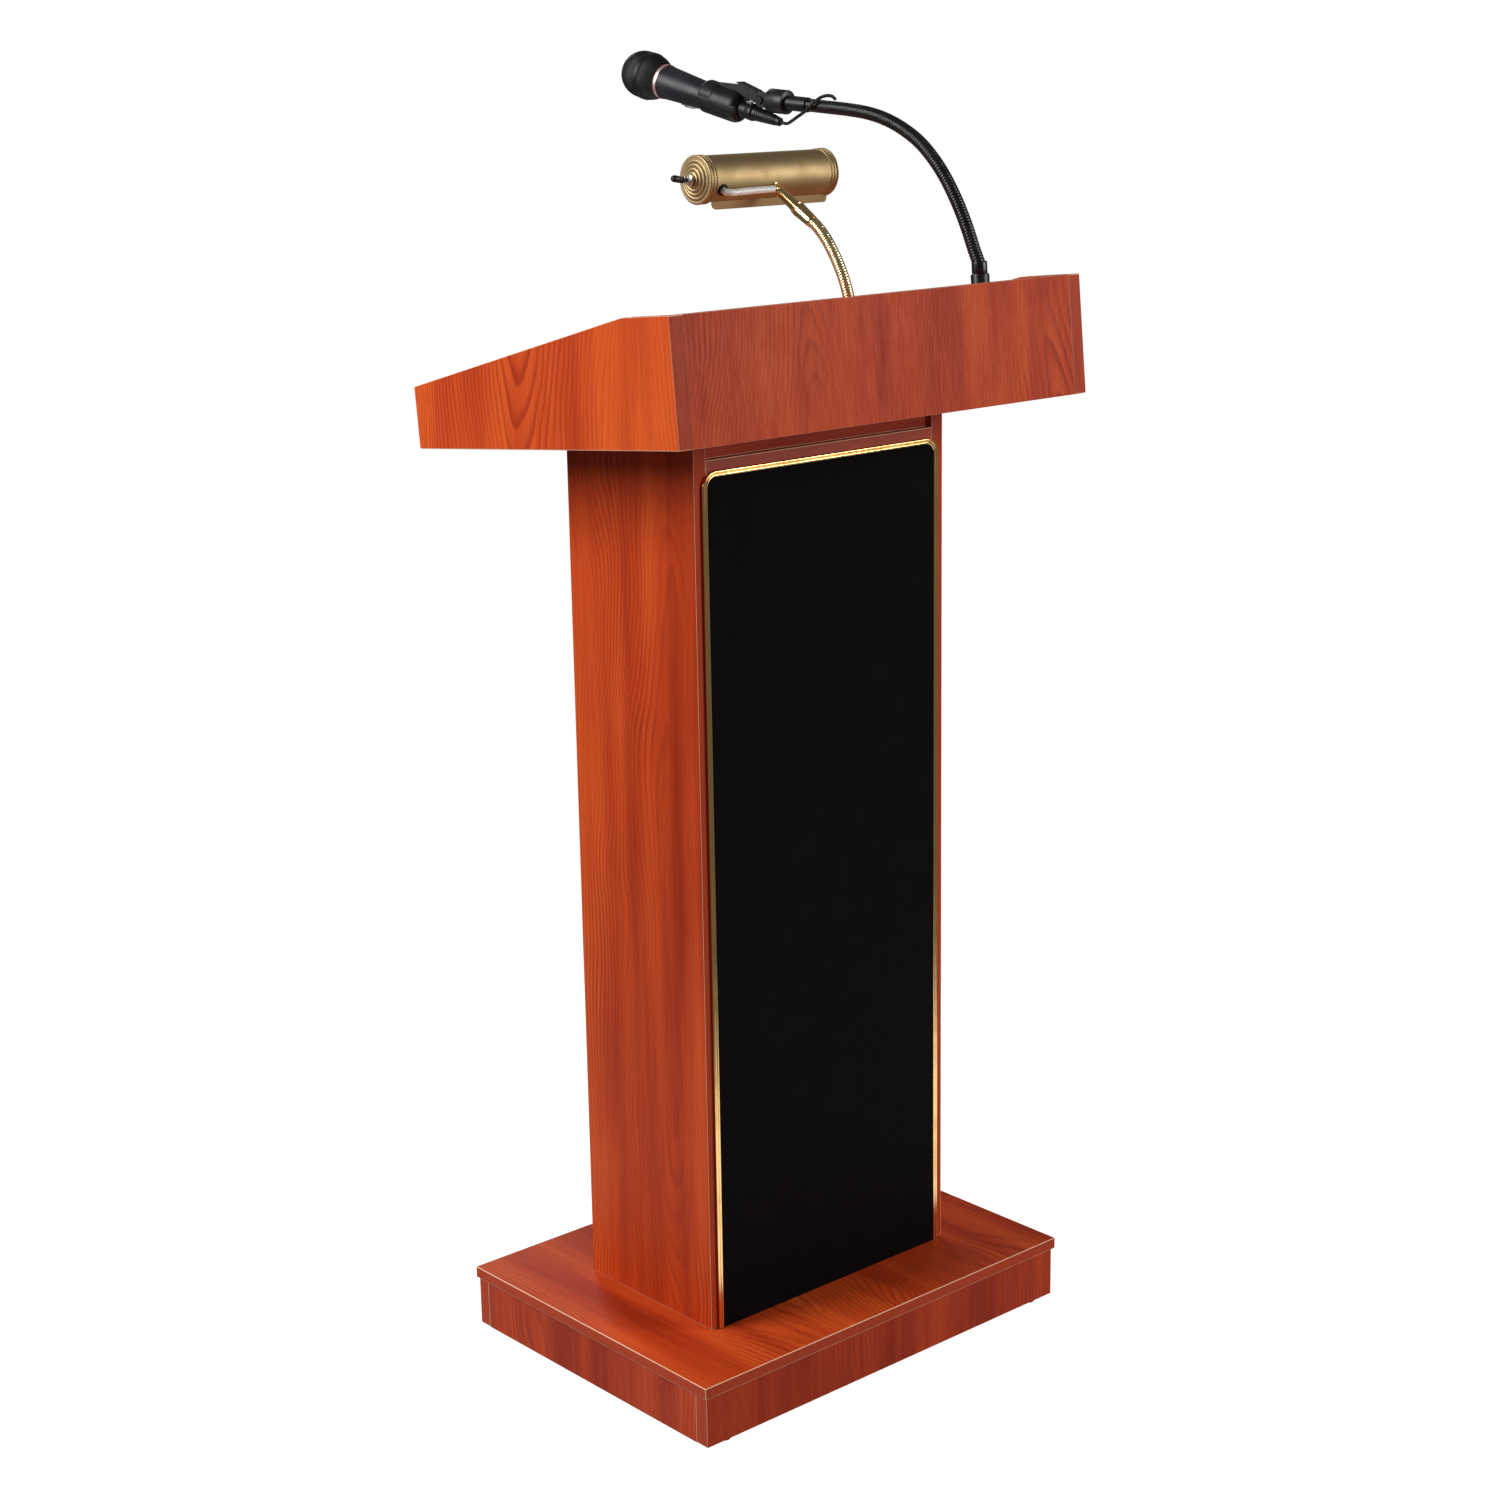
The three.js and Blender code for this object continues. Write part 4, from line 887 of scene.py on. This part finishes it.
def make_microphone():
    place = MIC_BODY @ ALONG_Y
    handle = [
        (0, 71), (9.6, 71), (9.6, 57.4), (10, 57), (11.6, 57), (12.2, 57.8), (handle_radius(62), 62),
        (handle_radius(110), 110), (handle_radius(168), 168), (18.55, 171), (18.6, 172.9), (0, 172.9),
    ]
    piece("mic_barrel", lathe(handle, 80), HANDLE, "microphone", place, covers="mic_handle")
    silver = [(0, 173.2), (18.7, 173.2), (19, 173.7), (19, 177.4), (18.7, 177.9), (0, 177.9)]
    piece("mic_ring", lathe(silver, 80), SATIN, "microphone", place)
    for name, at in (("mic_line_rear", 173.1), ("mic_line_front", 178)):
        piece(name, lathe(bead_section((18.8, at), 0.45), 80), RED, "microphone", place)

    # the wire-mesh ball: a tapering basket, a smooth belt and a round crown
    centre, crown = 209, 26

    def radius(t):
        if t < centre - 11:
            return 19 + 6.8 * sin((t - 178.6) / (centre - 11 - 178.6) * pi / 2)
        return sqrt(max(0, crown**2 - (t - centre) ** 2)) if t > centre else 25.8

    columns, ball = 360, []
    t, stations = 178.6, []
    while t < centre + crown - 0.4:
        stations.append(t)
        t += 0.47 if t < centre + 16 else 0.47 * max(0.15, (centre + crown - t) / 10)
    for t in stations:
        r, ring = radius(t), []
        for k in range(columns):
            a = 2 * pi * k / columns
            u, v = a * 72 / 2, t * pi / 2.3
            weave = max(cos(u + v / 2) ** 4, cos(u - v / 2) ** 4)
            bumpy = r - 0.55 + 0.6 * weave
            ring.append(Vector((bumpy * cos(a), bumpy * sin(a), t)))
        ball.append(ring)
    piece("mic_mesh", skin(ball), MESH, "microphone", place, 80, covers="mic_head")
    belt = [(23, 0), (25.8, 0), (26.5, 0.8), (26.5, 6.4), (25.8, 7.2), (23, 7.2)]
    belt = [(r, centre - 12.6 + h) for r, h in belt]
    piece("mic_belt", lathe(belt, 96), MESH, "microphone", place)

    # plug: a ribbed boot with a plain end, and a metal shell
    def boot(t):
        return 4.2 + 3.4 * (t / 37) ** 0.8 + (0.5 if 6 < t < 35 and t % 3 < 1.6 else 0)

    ribs = [(boot(0.5 * i), 0.5 * i) for i in range(11, 75)]
    shell = [
        (9, 38), (9.4, 40), (9.4, 44), (9.1, 44.6), (9.1, 52), (9.4, 52.6), (9.4, 56), (9, 56.6), (9.2, 57),
        (9.2, 70.4), (0, 70.4),
    ]
    profile = [(0, 0), (2.6, 0), (2.6, 5), (boot(5), 5.2), *ribs, *shell]
    piece("mic_connector", lathe(profile, 48), PLASTIC, "mic_clip", place, 45, covers="mic_plug")
    end = [(2.7, -0.2), (4.2, -0.2), (4.7, 0.4), (5, 4.3), (4.6, 4.9), (2.7, 4.9)]
    piece("mic_boot_end", lathe(end, 48), HANDLE, "mic_clip", place)
    latch = prism(rounded_box(5, 9, 1.2), 0, 1.1)
    piece("mic_latch", latch, CHROME, "mic_clip", MIC_BODY @ move(0, 48, 9.0))

    under = MIC_BODY @ move(0, 132, -handle_radius(132) + 0.05)
    under = under @ turn(-atan(HANDLE_TAPER), "X") @ turn(pi, "X")
    plate = prism(rounded_box(11, 26, 5.5, 8), -0.6, 0.45)
    piece("mic_switch_plate", plate, CHROME, "microphone", under)
    thumb = [block((-3.9, 3.9), (-6.4, 6.4), (0.5, 1.4))]
    thumb += [block((-3.7, 3.7), (y - 0.35, y + 0.35), (1.3, 1.95)) for y in (-4.8, -2.4, 0, 2.4, 4.8)]
    piece("mic_switch_key", joined(*thumb), PLASTIC, "mic_slide_key", under, covers="mic_switch")


# ---- clip
CLIP_PIVOT = Vector((0, 294, 1346.9))
SLEEVE_REAR, SLEEVE_PAD, SLEEVE_FRONT = 57.6, (88, 95), 107.6  # along the handle


def shell_sector(stations, inner, outer, start, end, steps=72):
    """Part of a tube round +Y: inner and outer give the radius at (place along Y, degrees from +X)."""
    angles = [start + (end - start) * i / steps for i in range(steps + 1)]
    rings = []
    for t in stations:
        ring = [(outer(t, a), radians(a)) for a in angles]
        ring += [(inner(t, a), radians(a)) for a in reversed(angles)]
        rings.append([Vector((r * cos(a), t, r * sin(a))) for r, a in ring])
    return skin(rings)


def smooth(value, low, high):
    """0 up to low, 1 from high on, and an even curve between them."""
    share = min(1, max(0, (value - low) / (high - low)))
    return share * share * (3 - 2 * share)


def make_clip():
    # the sleeve: open along its left side, with a round rear shoulder and a pad on the upper jaw's end
    def outer(t, a):
        upper = smooth(sin(radians(a)), -0.1, 0.5)
        pad = 1.7 * upper * smooth(t, *SLEEVE_PAD)
        shoulder = 5.2 * (1 - sqrt(max(0, 1 - (1 - min(1, (t - SLEEVE_REAR) / 9)) ** 2)))
        front = 1.6 * (1 - sqrt(max(0, 1 - max(0, (t - SLEEVE_FRONT) / 2.4) ** 2)))
        return 17.4 + pad - shoulder - front

    def inner(t, _):
        return handle_radius(t) + 0.4

    middle = [70 + 1.5 * i for i in range(26)]
    stations = [57.7, 58, 58.6, 59.6, 61, 63, 66, *middle, 108.4, 109.2, 109.7, 110]
    sleeve = shell_sector(stations, inner, outer, -157, 172)
    body = piece("mic_clip_sleeve", sleeve, PLASTIC, "mic_clip", MIC_BODY, 40, covers="mic_clip")
    soften(body, 0.6, 3, 50)

    # the arm to the pivot, the pivot's boss and the flat thumb lever
    run, lift = cos(MIC_TILT), sin(MIC_TILT)
    dy, dz = CLIP_PIVOT.y - BOOT_END[1], CLIP_PIVOT.z - BOOT_END[2]
    y, z = dy * run + dz * lift, dz * run - dy * lift
    boss = arc((y, z), 7.3, 90, 270, 20)
    arm = side_plate([*boss, (56, 13.4), (62, 15.2), (97, 16), (97, 19.3), (64, z + 7.4)], -3.4, 3.4)
    soften(piece("mic_clip_arm", arm, PLASTIC, "mic_clip", MIC_BODY), 0.7, 3)
    stem = side_plate([(y - 2, z + 4.8), (40, z + 6), (40, z + 7.6), (y - 2, z + 6.4)], -3.3, 3.3)
    plate = [(37.5, z + 5.6), (66, z + 8.7), (67, z + 9.6), (66, z + 10.4), (37.5, z + 7.4)]
    plate = side_plate(plate, -6.4, 6.4)
    soften(piece("mic_clip_lever", joined(stem, plate), PLASTIC, "mic_clip", MIC_BODY), 0.5, 3)

    # the socket: a barrel on the neck's end with two ears and a pin
    rise = MIC_LINE[-1] - MIC_LINE[-4]
    place = MIC @ move(*CLIP_PIVOT) @ turn(atan2(rise.z, rise.y), "X")
    barrel = [(0, 0), (12.3, 0), (12.8, 0.3), (13, 0.9), (13, 23.5), (12.8, 24.1), (12.3, 24.4), (0, 24.4)]
    piece("mic_socket_barrel", lathe(barrel, 80), PLASTIC, "mic_neck_tip", place @ move(0, -33, 0) @ ALONG_Y,
          covers="mic_clip_socket")
    # a dark patch on the barrel for the socket's window: painted shade
    window = shell_sector([-21.6, -17.2], lambda t, a: 12.4, lambda t, a: 13.04, 168, 196, 12)
    piece("mic_socket_window_shade", window, HOLE_SHADE, "mic_neck_tip", place)
    outline = [(-8.8, -8), *arc((0, 0), 8.1, -90, 90, 24), (-8.8, 8)]
    for side, low in (("left", -8.5), ("right", 4.1)):
        ear = side_plate(outline, low, low + 4.4)
        soften(piece(f"mic_socket_ear_{side}", ear, PLASTIC, "mic_neck_tip", place), 0.8, 3)
    pin = [(0, -10.8), (3.9, -10.8), (4.3, -10.3), (4.3, -8.4), (2.3, -8.4), (2.3, 10), (0, 10)]
    piece("mic_socket_pin", lathe(pin, 40), STEEL, "mic_neck_tip", place @ ALONG_X)


# ---- inside and back
PANEL_FACE, CONTROLS = 296.3, 940  # the control panel's face, and the height of its controls


def facing_back(x, depth=PANEL_FACE, height=CONTROLS):
    """A frame on the lectern's back, with +Z out of it."""
    return LECTERN @ move(x, depth, height) @ ALONG_Y


def make_inside():
    for name in ("speaker_lower", "speaker_upper", "amplifier_chassis", "amplifier_faceplate"):
        dress(nodes[name], *STEEL)
    soften(nodes["amplifier_faceplate"], 0.5)
    for i in range(1, 5):
        low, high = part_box(f"foot_glide_{i}")
        centre = (low + high) / 2 / MM
        disc = [(0, 0), (6, 0), (6.8, 0.4), (7, 1), (7, 2), (0, 2)]
        piece(f"glide_{i}", lathe(disc, 48), RUBBER, "cabinet", TO_METRES @ move(centre.x, centre.y, 0),
              covers=f"foot_glide_{i}")


def make_knobs():
    angles = [2 * pi * k / 144 for k in range(144)]

    def ring(radius, height, flute=0.0):
        """A ring with 24 flutes."""
        wave = [radius - flute * (0.5 + 0.5 * cos(24 * a)) for a in angles]
        return [Vector((r * cos(a), r * sin(a), height)) for r, a in zip(wave, angles)]

    skirt = [
        ring(3, -8), ring(3, 0.3), ring(11, 0.3), ring(11, 2.4), ring(10.4, 3), ring(9.9, 3.2, 0.5),
        ring(9.2, 11.8, 0.5), ring(8.6, 12.8, 0.3), ring(7.8, 13),
    ]
    tick = block((-0.35, 0.35), (13.2, 15.4), (0, 0.25))
    scale = [moved(tick, turn(radians(150 - 30 * k), "Z")) for k in range(11)]
    for x, node in ((-20, "mic_level_knob"), (40, "aux_level_knob")):
        place = facing_back(x)
        piece(f"{node}_cap", skin(skirt), PLASTIC, node, place, 40, covers=node)
        piece(f"{node}_pointer", block((-0.5, 0.5), (2.5, 8.2), (12.9, 13.25)), WHITE, node, place)
        piece(f"scale_{node}", joined(*scale), WHITE, "cabinet", place)


def make_rocker():
    x = 115
    outline = [(-6, -4.5), (2.6, -6.2), (3.2, -5.8), (2.3, -2), (2, 0), (2.3, 2), (3.2, 5.8), (2.6, 6.2)]
    outline += [(-6, 4.5)]
    place = LECTERN @ move(x, PANEL_FACE - GAP, CONTROLS) @ turn(radians(-6), "X")
    piece("power_key", side_plate(outline, -9.9, 9.9), PLASTIC, "power_rocker", place, 25,
          covers="amplifier_power_rocker")
    bezel = [(20.8, 14.2, 0), (25, 18, 0), (25, 18, 1.2), (24, 17, 1.8), (21.4, 14.8, 1.8), (20.8, 14.2, 1.4)]
    bezel = rounded_rim([(w, h, 1.5, z) for w, h, z in bezel])
    piece("power_bezel", bezel, PLASTIC, "cabinet", facing_back(x))


def make_sockets():
    jack = [(3.2, 0.1), (7.4, 0.1), (7.6, 0.8), (7, 2.4), (5.4, 2.9), (4.6, 4.6), (3.6, 4.8), (3.2, 4.4)]
    # a dark disc deep in each jack for the shade in its hole: painted shade
    hole = [(0, 0.1), (3.3, 0.1), (3.3, 0.9), (0, 0.9)]
    for i, x in enumerate((-70, 78), start=1):
        piece(f"jack_{i}", lathe(jack, 48), CHROME, "cabinet", facing_back(x))
        piece(f"jack_hole_shade_{i}", lathe(hole, 32), HOLE_SHADE, "cabinet", facing_back(x))

    # the mains inlet
    inlet = facing_back(-115, PANEL_FACE + 2)
    shroud = rounded_rim([
        (22, 14, 2, 0.1), (27, 19, 3, 0.1), (27, 19, 3, 2.2), (26.4, 18.4, 3, 2.7), (22.6, 14.6, 2, 2.7),
        (22, 14, 2, 2.3),
    ])
    piece("inlet_shroud", shroud, PLASTIC, "cabinet", inlet)
    # the recess's floor: its own black, darkened further as painted shade
    piece("inlet_floor", prism(rounded_box(22.2, 14.2, 2), 0.05, 0.4), HOLE_SHADE, "cabinet", inlet)
    for i, (x, y) in enumerate(((-6, -1.5), (0, 2.5), (6, -1.5)), start=1):
        pin = block((x - 0.8, x + 0.8), (y - 2, y + 2), (0.3, 2.1))
        piece(f"inlet_pin_{i}", pin, CHROME, "cabinet", inlet)


def make_screws():
    """Four in the control panel and six in the speaker chamber's rear panel."""
    spots = [(side * 150, PANEL_FACE, height) for side in (-1, 1) for height in (900.5, 986)]
    spots += [(side * 148, 303, height) for side in (-1, 1) for height in (474, 669, 864)]
    head = [(0, 0.1), (3.8, 0.1), (3.8, 0.6), (3.0, 1.6), (1.8, 2.1), (0, 2.3)]
    for i, spot in enumerate(spots, start=1):
        piece(f"panel_screw_{i}", lathe(head, 32), STEEL, "cabinet", facing_back(*spot))


# ---- studio
FLOOR_RADIUS, FLOOR_SIDES = 1100, 72
ROOM_GREY = 0.13
LIGHTS = [  # name, place, size in metres, watts
    ("left", (-3.0, 1.1, 2.7), (1.6, 2.2), 142),
    ("front", (2.3, -3.3, 1.9), (1.8, 2.0), 112),
    ("rear", (1.4, 3.2, 2.4), (1.0, 1.2), 30),
]
LIT_POINT = (0, 0, 0.75)


def make_floor():
    """White paper that glows, melts into the white behind it and throws no light back up."""
    angles = [radians(360 * k / FLOOR_SIDES) for k in range(FLOOR_SIDES)]
    disc = [(FLOOR_RADIUS * cos(a), FLOOR_RADIUS * sin(a), 0) for a in angles]
    look = Look("floor_paper", Roughness=0.9, Specular_IOR_Level=0.0, Emission_Strength=0.93)
    look.shader.inputs["Emission Color"].default_value = (1, 1, 1, 1)
    cloud = look.clouds(3, 2)
    look.color(look.ramp(cloud, [(0.3, (0.30,) * 3), (0.7, (0.32,) * 3)]))
    floor = build("floor", (disc, [tuple(range(FLOOR_SIDES))]), TO_METRES)
    floor.data.materials.append(look.material)
    floor.visible_diffuse = False


def make_world():
    """A dim room that is white where it is looked at directly."""
    world = bpy.data.worlds.new("studio")
    world.use_nodes = True
    scene.world = world
    tree = world.node_tree
    seen = tree.nodes.new("ShaderNodeLightPath").outputs["Is Camera Ray"]
    mix = tree.nodes.new("ShaderNodeMix")
    mix.data_type = "RGBA"
    mix.inputs[6].default_value = rgb(ROOM_GREY, ROOM_GREY, ROOM_GREY)
    mix.inputs[7].default_value = (1, 1, 1, 1)
    tree.links.new(seen, mix.inputs[0])
    tree.links.new(mix.outputs[2], tree.nodes["Background"].inputs[0])


def make_lights():
    for name, place, size, power in LIGHTS:
        data = bpy.data.lights.new(name, "AREA")
        data.shape, data.size, data.size_y, data.energy = "RECTANGLE", *size, power
        light = bpy.data.objects.new(name, data)
        light.location = place
        aim = Vector(LIT_POINT) - Vector(place)
        light.rotation_euler = aim.to_track_quat("-Z", "Y").to_euler()
        scene.collection.objects.link(light)


make_camera()
make_cords()
dress_boards()
make_grille()
make_necks()
make_lamp_stand()
make_shade()
make_lamp_fittings()
make_mic_stand()
make_microphone()
make_clip()
make_inside()
make_knobs()
make_rocker()
make_sockets()
make_screws()
make_floor()
make_world()
make_lights()
scene.view_settings.view_transform = "Standard"
